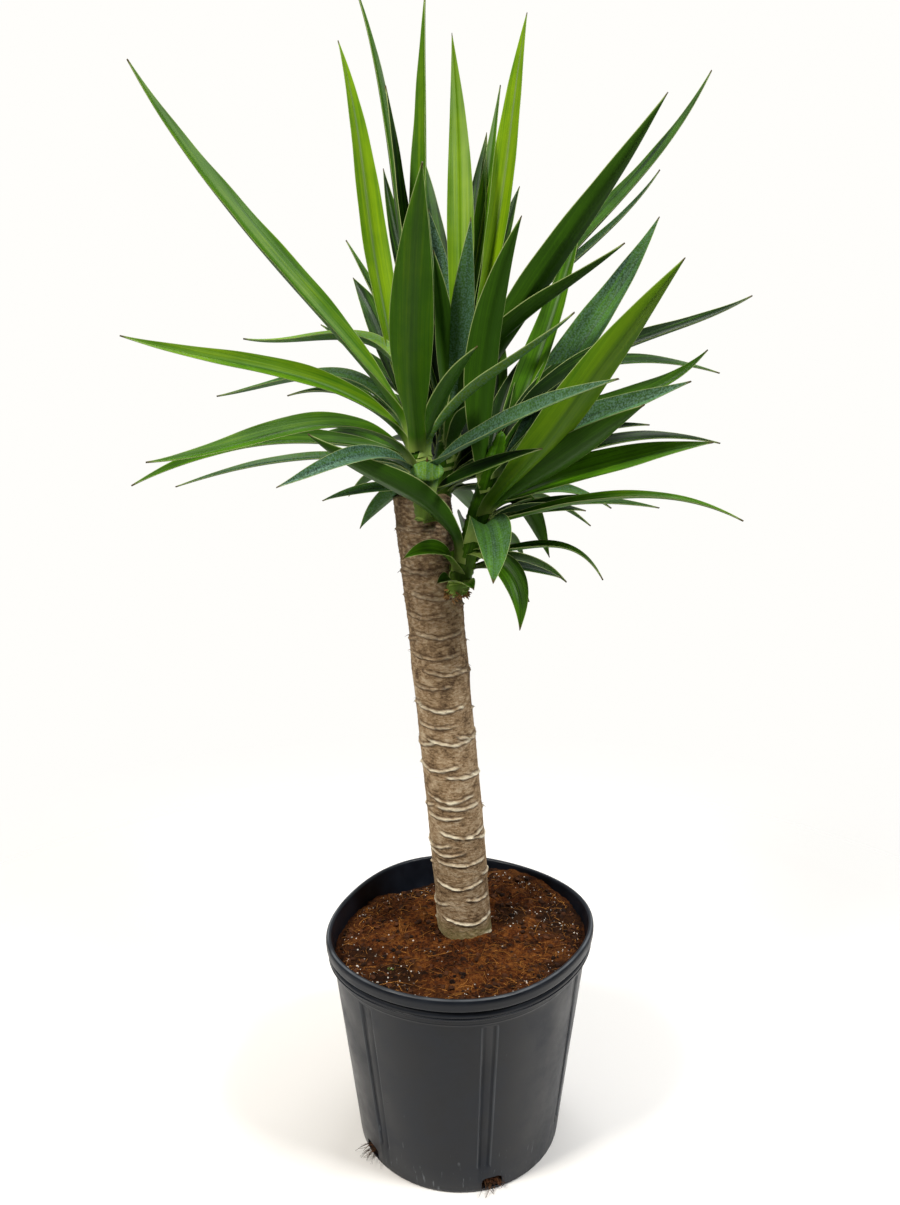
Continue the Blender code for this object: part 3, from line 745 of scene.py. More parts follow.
@dataclass
class Can:
    """The black nursery can, turned from its wall's outline, with moulded channels and drain holes.

    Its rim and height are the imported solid's own.
    """

    wall: float = 2.2
    floor: float = 3
    floor_rounding: float = 3
    band_radius: float = 136
    band_foot: float = 211
    neck_radius: float = 131
    wall_top: float = 202
    wall_top_radius: float = 130
    foot_radius: float = 107
    foot_rounding: float = 5
    lip_width: float = 6.5
    lip_depth: float = 6
    channel_angles: tuple = (-133, -78, -24, 38, 101, 164)
    channel_width: float = 13
    channel_depth: float = 1.7
    channel_side: float = 0.9  # degrees over which a channel's side slopes in
    channel_foot: float = 30
    drain_angles: tuple = (-146, -73, -1, 71, 143)
    drain_size: tuple = (17, 21, 12)  # depth, width and height
    drain_foot: float = 4
    mouth_swell: float = 2
    mouth_waves: tuple = ((1, 1.7, 88), (2, 3.7, 66), (3, 2.5, -8), (4, 2.5, 17))
    squeeze_from: float = 50
    squeeze_full: float = 101
    rim_radius: float = 138
    coarse_turn: float = 3.0  # degrees between the turned outline's places
    corner_steps: int = 3
    corner_reach: tuple = (0.05, 0.45)  # the least rounding drawn, and the most of an edge that one takes
    pale_scuff_and_highlight: tuple = (0.24, 0.35)  # how pale the channels' edges and the rim top are painted: scuffs, and a painted highlight
    # How much a channel's inner creases are dulled, as grime and painted shade, and how wide a crease is.
    channel_dirt_and_shade: float = 0.45
    crease_width: float = 0.6
    worn_patch: float = 17
    worn_share: tuple = (0.7, 0.9)  # on the whole, and how much it varies
    height: float = field(init=False)

    def __post_init__(self) -> None:
        """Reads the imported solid's height."""
        self.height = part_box("pot")[1].z / MM

    @property
    def channel_half(self) -> float:
        """Half a channel's width, in degrees."""
        return math.degrees(self.channel_width / 2 / self.foot_radius)

    def wall_radius(self, height: float | Array) -> float | Array:
        """Outside radius of the flaring wall."""
        share = (height - self.foot_rounding) / (self.wall_top - self.foot_rounding)
        return blend((self.foot_radius, self.wall_top_radius), share)

    def wall_inside(self, height: float | Array) -> float | Array:
        """Inside radius up the wall and on to the lip, before the mouth is squeezed."""
        low = self.wall_radius(np.minimum(height, self.wall_top)) - self.wall
        share = np.clip((height - self.wall_top) / (self.height - self.lip_depth - self.wall_top), 0, 1)
        return low + (self.rim_radius - self.lip_width - self.wall_top_radius + self.wall) * share

    def squeezed(self, points: Array) -> Array:
        """Bends points with the can's mouth: fully at the mouth, and not at all at the foot.

        Args:
            points: places in millimetres, one to a row.

        Returns:
            The bent places.
        """
        radius, turn = polar(points)
        shift = self.mouth_swell + sum(
            rise * np.cos(np.radians(crests * (turn - first))) for crests, rise, first in self.mouth_waves
        )
        outwards = np.clip((radius - self.squeeze_from) / (self.squeeze_full - self.squeeze_from), 0, 1)
        grown = 1 + shift * points[:, 2] / self.height * outwards / np.maximum(radius, 1)
        return points * np.column_stack([grown, grown, np.ones_like(grown)])

    def corners(self) -> list[tuple[float, float, float]]:
        """Radius, height and rounding of each corner, from the underside round to the floor."""
        foot, neck, band, rim = self.foot_radius, self.neck_radius, self.band_radius, self.rim_radius
        wall_top, band_foot, top = self.wall_top, self.band_foot, self.height
        low, high = self.channel_foot, wall_top - 2
        heights = (low - 1, low + 2.5, 70, 110, 150, high - 2.5, high)
        return [
            (foot - 8, 0, 0),
            (foot - 0.5, 0, 4.5),
            *((float(self.wall_radius(z)), z, 0) for z in heights),
            (self.wall_top_radius, wall_top, 1.2),
            (neck, wall_top + 2, 1.4),
            (neck + 0.9, band_foot - 1.2, 0.8),
            (neck - 0.4, band_foot - 0.2, 0.3),
            (band - 0.3, band_foot, 0.9),
            (band, band_foot + 1.9, 0.3),
            (band - 1.0, band_foot + 2.6, 0.3),
            (band, band_foot + 3.3, 0.3),
            (band, band_foot + 6, 1.6),
            (band - 1.9, band_foot + 8.2, 0.7),
            (band - 1.9, band_foot + 9, 0.7),
            (rim - 0.5, band_foot + 10.6, 1.6),
            (rim - 0.2, top - 7, 1.2),
            (rim, top - 4, 2),
            (rim - 1, top, 2.6),
            (rim - self.lip_width + 1, top, 1.8),
            (rim - self.lip_width, top - self.lip_depth, 2),
            (self.wall_top_radius - self.wall, wall_top, 4),
            (float(self.wall_inside(110)), 110, 0),
            (foot - self.wall, self.floor, self.floor_rounding),
        ]

    def outline(self) -> list[tuple[float, float]]:
        """The corners with their roundings, and the two ends on the axis."""
        corners = [(0.0, 0.0, 0.0), *self.corners(), (0.0, float(self.floor), 0.0)]
        points = []
        for before, corner, after in zip(corners, corners[1:], corners[2:]):
            here = Vector(corner[:2])
            to_before, to_after = Vector(before[:2]) - here, Vector(after[:2]) - here
            least, most = self.corner_reach
            reach = min(corner[2], to_before.length * most, to_after.length * most)
            if reach < least:
                points.append(tuple(here))
                continue
            start, end = here + to_before.normalized() * reach, here + to_after.normalized() * reach
            for k in range(self.corner_steps + 1):
                t = k / self.corner_steps
                points.append(tuple(start * (1 - t) ** 2 + here * 2 * t * (1 - t) + end * t**2))
        return [(0.0, 0.0), *points, (0.0, float(self.floor))]

    def turns(self) -> list[float]:
        """Where the outline is turned to, in degrees: even steps, and closer ones at each channel's edges."""
        half, side = self.channel_half, self.channel_side
        steps = [half + side / 2, half, half - side, half - side * 2, half - side * 2.5]
        steps = (*steps, 0, *(-step for step in steps))
        places = {round((channel + step) % 360, 3) for channel in self.channel_angles for step in steps}
        for k in range(int(360 / self.coarse_turn)):
            turn = k * self.coarse_turn
            if all(apart(turn, place) > 0.8 for place in places):
                places.add(turn)
        return sorted(places)

    def build(self) -> Piece:
        """Turns the outline, presses in the channels and cuts the drain holes."""
        outline = self.outline()
        bpy.ops.mesh.primitive_circle_add(vertices=len(outline), radius=100)
        can = added()
        write_points(can, np.array([(radius, 0, height) for radius, height in outline]))
        turns = self.turns()
        with editing(can, "DESELECT"):
            pick(can, "edges", lambda edge: sorted(v.index for v in edge.verts) == [0, len(outline) - 1])
            bpy.ops.mesh.delete(type="EDGE")
            bpy.ops.mesh.select_all(action="SELECT")
            for start, end in zip(turns, [*turns[1:], turns[0] + 360]):
                bpy.ops.mesh.spin(steps=1, angle=math.radians(start - end), center=(0, 0, 0), axis=(0, 0, 1))
        close_and_turn_out(can)
        can.data.transform(Matrix.Rotation(math.radians(turns[0]), 4, "Z"))
        self.press_channels(can)
        cut_away(can, [self.drain_cutter(turn) for turn in self.drain_angles])
        self.mark_wear(can)
        write_points(can, self.squeezed(read_points(can)))
        close_and_turn_out(can)
        return can

    def press_channels(self, can: Piece) -> None:
        """Presses the shallow upright channels into the wall's outside.

        Args:
            can: the turned can.
        """
        points = read_points(can)
        radius, turn = polar(points)
        half, side = self.channel_half, self.channel_side
        outside = radius > self.wall_radius(points[:, 2]) - 0.5
        upright = ease(self.channel_foot - 1, self.channel_foot + 2.5, points[:, 2])
        upright *= 1 - ease(self.wall_top - 4.5, self.wall_top - 2, points[:, 2])
        profile = ((half - 4 * side, 0.6), (half - 2 * side, 1.0), (half - side, 1.0), (half, 0.0))
        for channel in self.channel_angles:
            share = np.interp(apart(turn, channel), *zip(*profile))
            depth = self.channel_depth * upright * outside * share
            points[:, :2] *= (1 - depth / np.maximum(radius, 1))[:, None]
        write_points(can, points)

    def mark_wear(self, can: Piece) -> None:
        """Stores where the channels' edges and the rim top are painted pale, as scuffs and painted highlight,
        and where the creases are dulled, as grime and painted shade.

        Args:
            can: the can, before its mouth is squeezed.
        """
        points = read_points(can)
        radius, turn = polar(points)
        height, half, none = points[:, 2], self.channel_half, np.zeros(len(points))
        outside = radius > self.wall_radius(np.minimum(height, self.wall_top)) - self.channel_depth - 0.2
        upright = (height > self.channel_foot) & (height < self.wall_top - 2) & outside
        pale, dirt_and_crease_shade = none, none
        for channel in self.channel_angles:
            away = apart(turn, channel)
            # A channel's inner creases are dulled: grime, and painted shade.
            dirty_and_shaded = np.abs(away - half + 1.5 * self.channel_side) < 0.8 * self.channel_side
            # A pale line on a channel's outer edge: scuffs, and a painted highlight.
            pale = np.maximum(pale, upright * (np.abs(away - half) < 0.1) * self.pale_scuff_and_highlight[0])
            dirt_and_crease_shade = np.maximum(dirt_and_crease_shade, upright * dirty_and_shaded * self.channel_dirt_and_shade)
        band = self.band_foot
        # The band's creases are dulled too: grime, and painted shade.
        for crease in (self.wall_top + 2, band - 0.2, band + 2.6, band + 8.6):
            dirt_and_crease_shade = np.maximum(dirt_and_crease_shade, outside * np.exp(-(((height - crease) / self.crease_width) ** 2)))
        # The rim's top is painted pale: scuffs, and a painted highlight on the bead.
        on_rim = (height > self.height - 0.4) * (radius > self.rim_radius - 3)
        pale = np.maximum(pale, self.pale_scuff_and_highlight[1] * on_rim)
        share, change = self.worn_share
        worn = np.clip(share + change * roughness_at(points, self.worn_patch), 0, 1)
        write_attributes(can, wear=np.column_stack([pale * worn, np.clip(dirt_and_crease_shade, 0, 1), none]))

    def drain_cutter(self, turn: float) -> Piece:
        """The shape of a drain hole: a slot with a rounded top, through the foot of the wall.

        Args:
            turn: where round the can the hole is, in degrees.

        Returns:
            The shape, in its place.
        """
        bpy.ops.mesh.primitive_cube_add(size=1)
        cutter = added()
        across = reaches(0, 0.5)
        with editing(cutter, "DESELECT"):
            pick(cutter, "edges", lambda edge: all(v.co.z > 0 for v in edge.verts) and across(edge))
            bpy.ops.mesh.bevel(offset=0.32, segments=5, affect="EDGES")
            bpy.ops.mesh.select_all(action="SELECT")
            bpy.ops.mesh.normals_make_consistent(inside=False)
        place = Matrix.Translation((self.foot_radius, 0, self.drain_foot + self.drain_size[2] / 2))
        turned = Matrix.Rotation(math.radians(turn), 4, "Z")
        cutter.data.transform(turned @ place @ Matrix.Diagonal((*self.drain_size, 1)))
        return cutter

    def dress(self) -> None:
        """Builds the can and gives it its plastic."""
        settle(self.build(), "can", CanPlastic().material(), "pot", 32)


# The soil


@dataclass
class Soil:
    """The potting mix: a crumbly top with peaty patches, and the body of the root ball under it.

    Args:
        can: the can that it fills.
    """

    can: Can
    height: float = 214
    front_rise: float = 4
    bump: float = 3
    bump_size: float = 26
    crumbs: tuple = ((1.9, 8), (1.5, 3.4))  # height and size
    banks: tuple = ((72, 122, 78, 16), (-46, 118, 42, -13))  # x, y, reach and rise
    crust: float = 188
    room: float = 0.5
    hole_radius: float = 28.9
    turns: int = 260
    rings: int = 84
    patches: tuple = (  # x, y and reach of each peaty patch
        (112, 22, 40),
        (58, 34, 26),
        (-50, 118, 34),
        (-62, -76, 30),
        (-98, -36, 20),
        (30, 118, 22),
        (98, -62, 18),
    )
    ragged: tuple = ((0.45, 14), (0.3, 5))  # how far a patch's edge strays, and over what size
    patch_edge: tuple = (0.55, 1.15)
    wall_darkening: float = 0.55  # how much darker the mix goes towards the can's wall
    wall_darkening_reach: tuple = (80, 122)
    strands: int = 1700
    strand_lengths: tuple = (4, 26)
    strand_thicknesses: tuple = (0.14, 0.36)
    strand_curls: tuple = (-0.5, 0.5)
    strand_arches: tuple = (0, 0.16)
    grains: int = 420
    grains_in_peat: float = 0.74
    grain_squash: tuple = ((0.7, 1.2), (0.7, 1.2), (0.5, 0.9))
    clods: int = 760
    moss_flecks: int = 16
    moss_place: tuple = ((-69, 3), (-64, 2.4))  # middle and spread, along X and Y
    ragged_holes: tuple = ((-73, 9, 46), (-146, 15, 34))  # turn, longest root and count
    hole_spread: tuple = (-5, 5)  # degrees
    crumb_places: tuple = ((100, 106), (5, 14))  # radius and height in a drain hole
    root_places: tuple = ((100, 104), (4, 14))

    def top(self, x: float, y: float) -> float:
        """Height of the top without its crumbs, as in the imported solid.

        Args:
            x: place along X.
            y: place along Y.

        Returns:
            The height there.
        """
        height = self.height + self.front_rise * (0.5 * x - y) / self.can.rim_radius
        height += self.bump * noise.noise(Vector((x, y, 0)) / self.bump_size)
        for bank_x, bank_y, reach, rise in self.banks:
            height += rise * math.exp(-((x - bank_x) ** 2 + (y - bank_y) ** 2) / reach**2)
        return height

    def rough_top(self, x: float, y: float) -> float:
        """Height of the top with its crumbs."""
        place = Vector((x, y, 0))
        return sum((rise * noise.noise(place / size) for rise, size in self.crumbs), self.top(x, y))

    def peat_at(self, x: Array, y: Array) -> Array:
        """How dark the mix is at places, from 0 to 1: its peaty patches, and darker towards the can's wall.

        Args:
            x: places along X.
            y: the same places along Y.

        Returns:
            How dark the mix is at each.
        """
        points = np.column_stack([x, y, np.zeros_like(x)])
        ragged = sum(share * roughness_at(points, size) for share, size in self.ragged)
        peat = np.zeros_like(x)
        for px, py, reach in self.patches:
            away = np.hypot(x - px, y - py) / reach
            peat = np.maximum(peat, 1 - ease(*self.patch_edge, away - ragged * 0.8))
        return np.maximum(peat, self.wall_darkening * ease(*self.wall_darkening_reach, np.hypot(x, y) + 14 * ragged))

    @property
    def edge_radius(self) -> float:
        """Radius of the crust's edge, just inside the can."""
        return float(self.can.wall_inside(self.crust)) - self.room

    def build(self) -> Piece:
        """Rolls a grid up into the top and closes the body under it."""
        bpy.ops.mesh.primitive_grid_add(x_subdivisions=self.turns, y_subdivisions=self.rings, size=2)
        soil = added()
        across, up, _ = read_points(soil).T
        angle, inward = (across + 1) * math.pi, (up + 1) / 2
        middle, rim = Cane().centre(self.height), self.edge_radius
        radius = blend((rim, self.hole_radius), inward)
        x = middle[0] * inward + radius * np.cos(angle)
        y = middle[1] * inward + radius * np.sin(angle)
        z = np.array([self.rough_top(px, py) for px, py in zip(x, y)])
        grown = 1 + (self.can.wall_inside(z) - self.room - rim) * ease(0.12, 0, inward) / radius
        write_points(soil, np.column_stack([x * grown, y * grown, z]))
        with editing(soil):
            bpy.ops.mesh.remove_doubles(threshold=0.01)
            self.draw_down(soil, lambda v: math.hypot(v.co.x, v.co.y) > rim - 1)
            self.draw_down(soil, lambda v: math.hypot(v.co.x, v.co.y) < rim - 20)
        self.close_foot(soil)
        points = self.can.squeezed(read_points(soil))
        write_points(soil, points)
        write_attributes(soil, peat=self.peat_at(*read_points(soil).T[:2]))
        return soil

    def draw_down(self, soil: Piece, wanted: Callable[[object], bool]) -> None:
        """Extrudes one open edge of the top downwards."""
        pick(soil, "edges", lambda edge: edge.is_boundary and all(wanted(v) for v in edge.verts))
        bpy.ops.mesh.extrude_region_move(TRANSFORM_OT_translate={"value": (0, 0, -150)})

    def close_foot(self, soil: Piece) -> None:
        """Puts the lower loops in place, and closes the body between and inside them.

        Args:
            soil: the soil, with its edges drawn down.
        """
        points = read_points(soil)
        radius = polar(points)[0]
        low = points[:, 2] < self.crust - 60
        outer = low & (radius > self.edge_radius - 1)
        inner = low & ~outer
        foot_radius = self.can.foot_radius - self.can.wall - self.can.floor_rounding - 0.9
        points[outer, :2] *= (foot_radius / radius[outer])[:, None]
        points[outer, 2] = self.can.floor + 0.3
        cane_foot = Cane().line[0]
        points[inner, :2] += np.array(cane_foot[1:]) - Cane().centre(self.height)[:2]
        points[inner, 2] = cane_foot[0] - 0.3
        write_points(soil, points)
        with editing(soil, "DESELECT"):
            bpy.ops.mesh.select_mode(type="EDGE")
            bpy.ops.mesh.select_non_manifold()
            bpy.ops.mesh.edge_face_add()
        close_and_turn_out(soil, 0.01)

    def place_on_top(self, draw: random.Random, peaty: float) -> tuple[float, float, float]:
        """Draws a place on the top.

        Args:
            draw: the source of the draws.
            peaty: the share of the places that keep to the peaty patches.

        Returns:
            x, y and the height there.
        """
        least = 0.4 if draw.random() < peaty else 0
        cane = Cane().centre(self.height)
        while True:
            radius = self.edge_radius * math.sqrt(draw.random()) - 2
            turn = draw.uniform(0, math.tau)
            x, y = radius * math.cos(turn), radius * math.sin(turn)
            if math.hypot(x - cane[0], y - cane[1]) < self.hole_radius + 1.5:
                continue
            x, y, z = self.can.squeezed(np.array([[x, y, self.rough_top(x, y)]]))[0]
            if not least or self.peat_at(np.array([x]), np.array([y]))[0] >= least:
                return x, y, z

    @staticmethod
    def strand_master() -> Master:
        """A coir strand: a long three-sided taper along X, with points along it to bend."""
        bpy.ops.mesh.primitive_cone_add(
            vertices=3, radius1=1, radius2=0.4, depth=2, rotation=(0, math.pi / 2, 0)
        )
        strand = added()
        with editing(strand, "DESELECT"):
            pick(strand, "edges", reaches(0, 1))
            bpy.ops.mesh.subdivide(number_cuts=4)
        return Master.taken_from(strand)

    def build_strands(self) -> Piece:
        """Lays curved strands over the top."""
        draw = random.Random("coir strands")
        master = self.strand_master()
        along, wide, deep = master.points.T
        copies, shades = [], []
        for _ in range(self.strands):
            place = self.place_on_top(draw, 0)
            length = blend(self.strand_lengths, draw.random() ** 3)
            thick, turn = draw.uniform(*self.strand_thicknesses), draw.uniform(0, math.tau)
            curl, arch = draw.uniform(*self.strand_curls), draw.uniform(*self.strand_arches)
            x, y = along * length / 2, wide * thick + curl * (along**2) * length / 3
            z = deep * thick + arch * (1 - along**2) * length
            cos, sin = math.cos(turn), math.sin(turn)
            copies.append(np.column_stack([x * cos - y * sin, x * sin + y * cos, z]) + place + (0, 0, 0.15))
            shades.append(draw.random() ** 1.6)
        return master.copied("coir_strands", copies, shades)

    def build_grains(self, name: str, places: list[tuple], sizes: tuple) -> Piece:
        """Models a rough grain and puts copies of it at places.

        Args:
            name: the piece's name.
            places: where they lie.
            sizes: the least and the greatest radius.

        Returns:
            The piece.
        """
        draw = random.Random(name)
        bpy.ops.mesh.primitive_cube_add(size=1.6)
        lump = added()
        with editing(lump):
            bpy.ops.mesh.bevel(offset=0.45, segments=1, affect="EDGES")
        master = Master.taken_from(lump)
        copies, shades = [], []
        for k, (x, y, z) in enumerate(places):
            size = blend(sizes, draw.random() ** 2)
            rough = 1 + 0.8 * roughness_at(master.points + (k * 7.3, 0, 0), 0.9)
            squash = np.array([draw.uniform(*ends) for ends in self.grain_squash])
            copies.append(master.points * rough[:, None] * squash * size + (x, y, z + size * 0.25))
            shades.append(draw.random())
        return master.copied(name, copies, shades)

    def drain_places(self, draw: random.Random) -> list[tuple]:
        """Places in the mouths of the two drain holes that crumbs have washed into.

        Args:
            draw: the source of the draws.

        Returns:
            x, y and height of each place.
        """
        radii, heights = self.crumb_places
        places = []
        for hole in [hole for hole, _, count in self.ragged_holes for _ in range(count)]:
            turn = math.radians(hole + draw.uniform(*self.hole_spread))
            out = draw.uniform(*radii)
            places.append((out * math.cos(turn), out * math.sin(turn), draw.uniform(*heights)))
        return places

    def build_drain_roots(self) -> Piece:
        """Torn roots that hang out of the two drain holes."""
        draw = random.Random("drain roots")
        master = self.strand_master()
        along = (master.points[:, 0] + 1) / 2
        radii, heights = self.root_places
        copies, shades = [], []
        for hole, length in [row[:2] for row in self.ragged_holes for _ in range(row[2])]:
            turn = math.radians(hole + draw.uniform(*self.hole_spread))
            out = np.array((math.cos(turn), math.sin(turn), 0.0))
            side = np.array((-out[1], out[0], 0.0))
            start = out * draw.uniform(*radii) + (0, 0, draw.uniform(*heights))
            reach = 3 + length * draw.random()
            path = np.outer(along, out + side * draw.uniform(-0.9, 0.9)) * reach
            path += np.outer(along**2, side) * draw.uniform(-0.5, 0.5) * reach
            path[:, 2] -= along**2 * min(start[2] - 1.5, draw.uniform(0, 0.8) * reach)
            thick = draw.uniform(0.2, 0.6)
            section = master.points[:, 1:2] * thick * side + master.points[:, 2:3] * thick * (0, 0, 1)
            copies.append(start + path + section)
            shades.append(draw.random())
        return master.copied("drain_roots", copies, shades)

    def dress(self) -> None:
        """Builds the soil and what lies on it."""
        settle(self.build(), "potting_mix", CoirSoil().material(), "soil", 60)
        draw = random.Random("places on the soil")
        perlite = [self.place_on_top(draw, self.grains_in_peat) for _ in range(self.grains)]
        crumbs = [self.place_on_top(draw, 0) for _ in range(self.clods)] + self.drain_places(draw)
        moss = [tuple(draw.gauss(*place) for place in self.moss_place) for _ in range(self.moss_flecks)]
        moss = [(x, y, self.rough_top(x, y)) for x, y in moss]
        pieces = (
            self.build_strands(),
            self.build_grains("perlite", perlite, (0.28, 1.1)),
            self.build_grains("bark_crumbs", crumbs, (0.7, 3.4)),
            self.build_grains("moss_flecks", moss, (0.4, 1.2)),
            self.build_drain_roots(),
        )
        finishes = (
            LooseBits("coir_strand_dry", "2A140A", "AE7434"),
            LooseBits("perlite_grain", "8F867A", "EAE5DC", 0.8),
            LooseBits("bark_crumb_damp", "140B07", "52301A"),
            LooseBits("moss_fleck", "2E3C12", "64763A"),
            LooseBits("drain_root_dry", "120B08", "6A4A30"),
        )
        for piece, finish in zip(pieces, finishes):
            settle(piece, piece.name, finish.material())


# The cane


@dataclass(frozen=True)
class Scar:
    """The mark that a fallen leaf left: a pale lip that hangs in the middle like a smile.

    Args:
        height: of its lowest point.
        turn: the way that its lowest point faces, in degrees.
        span: how far it reaches to each side, in degrees.
        droop: how far its ends stand above its lowest point.
        paleness: from 0, hardly seen, to 1.
    """

    height: float
    turn: float
    span: float
    droop: float
    paleness: float


SEEN_SCARS = (
    Scar(230, -72, 72, 8, 1.0),
    Scar(256, -49, 36, 3, 0.7),
    Scar(270, -94, 64, 7, 1.0),
    Scar(296, -82, 66, 4, 0.6),
    Scar(306, -118, 50, 6, 0.7),
    Scar(326, -70, 60, 8, 1.0),
    Scar(347, -115, 46, 3, 0.7),
    Scar(358, -78, 55, 3, 0.7),
    Scar(365, -97, 62, 8, 0.9),
    Scar(391, -60, 44, 2, 0.8),
    Scar(398, -122, 58, 7, 0.8),
    Scar(426, -78, 70, 8, 0.8),
    Scar(444, -112, 48, 3, 0.4),
    Scar(461, -96, 58, 6, 1.0),
    Scar(484, -112, 50, 4, 0.35),
    Scar(498, -70, 60, 6, 0.35),
    Scar(515, -100, 66, 6, 0.3),
    Scar(536, -84, 60, 7, 0.4),
    Scar(556, -112, 52, 5, 0.2),
    Scar(575, -80, 60, 6, 0.3),
    Scar(600, -104, 60, 6, 0.2),
    Scar(622, -76, 60, 6, 0.25),
    Scar(642, -110, 60, 5, 0.2),
)


@dataclass
class Cane:
    """The woody cane: bark with leaf scars, a sawn top, and shreds of old bark."""

    line: tuple = ((62, 22, 12), (224, 5, 20), (360, -6, 20), (470, -17, 20), (580, -27, 20), (674, -38, 20))
    radius: float = 28.6
    lump: float = 0.9
    sides: int = 144
    bark_from: float = 200
    top_rounding: float = 4
    hidden_scar_step: float = 8.4
    front_sector: tuple = (-150, -30)
    rough_from: float = 470
    rough_to: float = 640
    wrinkles: tuple = ((0.3, 0.55), (0.16, 0.3))  # heights of the coarse and fine ones: everywhere, torn
    lip: float = 1.25
    lip_thickness: tuple = (1.15, 0.8)  # on the whole, and how much it varies
    step_under_lip: tuple = (0.6, 6)  # height, and how far down it runs out
    green_foot: tuple = (214, 236)
    shreds: int = 260
    shred_size: tuple = ((3, 9), (0.2, 0.42))  # lengths and thicknesses
    shred_lean: float = 1.4
    shred_curl: float = 0.9
    collar_flakes: int = 76
    flake_size: tuple = ((2.5, 7), (0.6, 1.5))
    flake_place: tuple = ((-190, 20), (580, 2.5))  # turns, and the middle and spread of the height
    shoot_foot: tuple = ((-4, -3), 10.5)  # middle and radius of the side shoot's foot
    top: float = field(init=False)

    def __post_init__(self) -> None:
        """Reads the height of the sawn end."""
        self.top = self.line[-1][0]

    def centre(self, height: float | Array) -> Array:
        """Points of the bent centre line at heights."""
        heights, xs, ys = (np.array(column, float) for column in zip(*self.line))
        return np.stack([np.interp(height, heights, xs), np.interp(height, heights, ys)], -1)

    def scars(self) -> list[Scar]:
        """The scars that the photograph shows, and a golden-angle spiral of them round the hidden sides."""
        draw = random.Random("leaf scars")
        found = list(SEEN_SCARS)
        low, high = self.front_sector
        for k in range(int((self.top - 20 - self.bark_from) / self.hidden_scar_step)):
            height = self.bark_from + 12 + k * self.hidden_scar_step
            turn = (k * GOLDEN_ANGLE + 180) % 360 - 180
            faded = 0.75 * float(ease(self.rough_from, self.rough_from + 40, height))
            pale = draw.uniform(0.45, 1.0) * (1 - faded)
            if not low < turn < high:
                found.append(Scar(height, turn, draw.uniform(46, 70), draw.uniform(4, 9), pale))
        return found

    def shape_bark(self, cane: Piece) -> None:
        """Raises the scars, roughens the bark, bends the cane and stores what its material reads.

        Args:
            cane: the straight cane, already divided.
        """
        points = read_points(cane)
        x, y, z = points.T
        radius, turn = polar(points)
        side = radius > self.radius * 0.97
        on_bark = np.where(side, ease(self.bark_from, self.bark_from + 8, z), 0)
        rough = ease(self.rough_from, self.rough_to, z)
        around = np.column_stack([np.cos(np.radians(turn)), np.sin(np.radians(turn)), z / 40])
        fine = np.column_stack([x, y, z * 1.6])
        wrinkles, breaks = roughness_at(fine, 4.5), roughness_at(fine, 8)
        out = self.lump * roughness_at(around, 1)
        for (everywhere, where_torn), pattern in zip(self.wrinkles, (wrinkles, roughness_at(fine, 1.9))):
            out += on_bark * (everywhere + where_torn * rough) * pattern
        pale, shadow = np.zeros((2, len(points)))
        thick = self.lip_thickness[0] + self.lip_thickness[1] * breaks
        step, run_out = self.step_under_lip
        for scar in self.scars():
            away = apart(turn, scar.turn) / scar.span
            above = z - (scar.height + scar.droop * (np.sqrt(away**2 + 0.03) - 0.17) + 1.2 * wrinkles)
            fade = 1 - ease(0.72, 1.0, away)
            lip = np.exp(-((above / thick) ** 2)) * fade
            under = step * fade * np.exp(-np.clip(-above, 0, None) / run_out) * (above < 0)
            out += on_bark * (self.lip * lip + under)
            seen = scar.paleness * (1 - 0.35 * float(ease(450, 500, scar.height)))
            pale = np.maximum(pale, seen * lip * np.clip(0.85 + 1.2 * breaks, 0, 1))
            beside = (np.abs(above - 0.4) - thick - 1.2) / 0.9
            shadow = np.maximum(shadow, 0.9 * fade * np.exp(-(beside**2)))
        scale = np.where(side, 1 + out / self.radius, 1)
        middle = self.centre(z)
        write_points(cane, np.column_stack([x * scale + middle[:, 0], y * scale + middle[:, 1], z]))
        green = 0.5 * (1 - ease(*self.green_foot, z + 8 * wrinkles))
        torn = rough * np.clip(0.35 + 0.9 * wrinkles, 0, 0.8)
        marks = np.column_stack([np.clip(pale, 0, 1), np.clip(np.maximum(shadow, torn), 0, 1), green])
        write_attributes(cane, bark=marks * on_bark[:, None])

    def build(self) -> Piece:
        """Models the cane upright as a ringed cylinder, then shapes its bark."""
        bpy.ops.mesh.primitive_cylinder_add(
            vertices=self.sides,
            radius=self.radius,
            depth=self.top - self.bark_from,
            location=(0, 0, (self.top + self.bark_from) / 2),
        )
        cane = added()
        with editing(cane, "DESELECT"):
            for cuts in (99, 4):
                pick(cane, "edges", reaches(2, 1))
                bpy.ops.mesh.subdivide(number_cuts=cuts)
            pick(cane, "faces", lambda face: face.normal.z < -0.9)
            drop = (0, 0, self.line[0][0] - self.bark_from)
            bpy.ops.mesh.extrude_region_move(TRANSFORM_OT_translate={"value": drop})
            pick(cane, "faces", lambda face: face.normal.z > 0.9)
            for step, drop in ((1.6, 0.0), (2.4, -0.4), (6, -0.5), (7, -0.2), (6, 0.1)):
                bpy.ops.mesh.inset(thickness=step, depth=drop)
        self.shape_bark(cane)
        self.round_top(cane)
        return cane

    def round_top(self, cane: Piece) -> None:
        """Rounds the bark over at the sawn end.

        Args:
            cane: the bent cane.
        """
        points = read_points(cane)
        middle = self.centre(points[:, 2])
        near = ease(self.top - self.top_rounding, self.top, points[:, 2])
        from_axis = points[:, :2] - middle
        points[:, :2] = middle + from_axis * (1 - 0.12 * near**2)[:, None]
        write_points(cane, points)

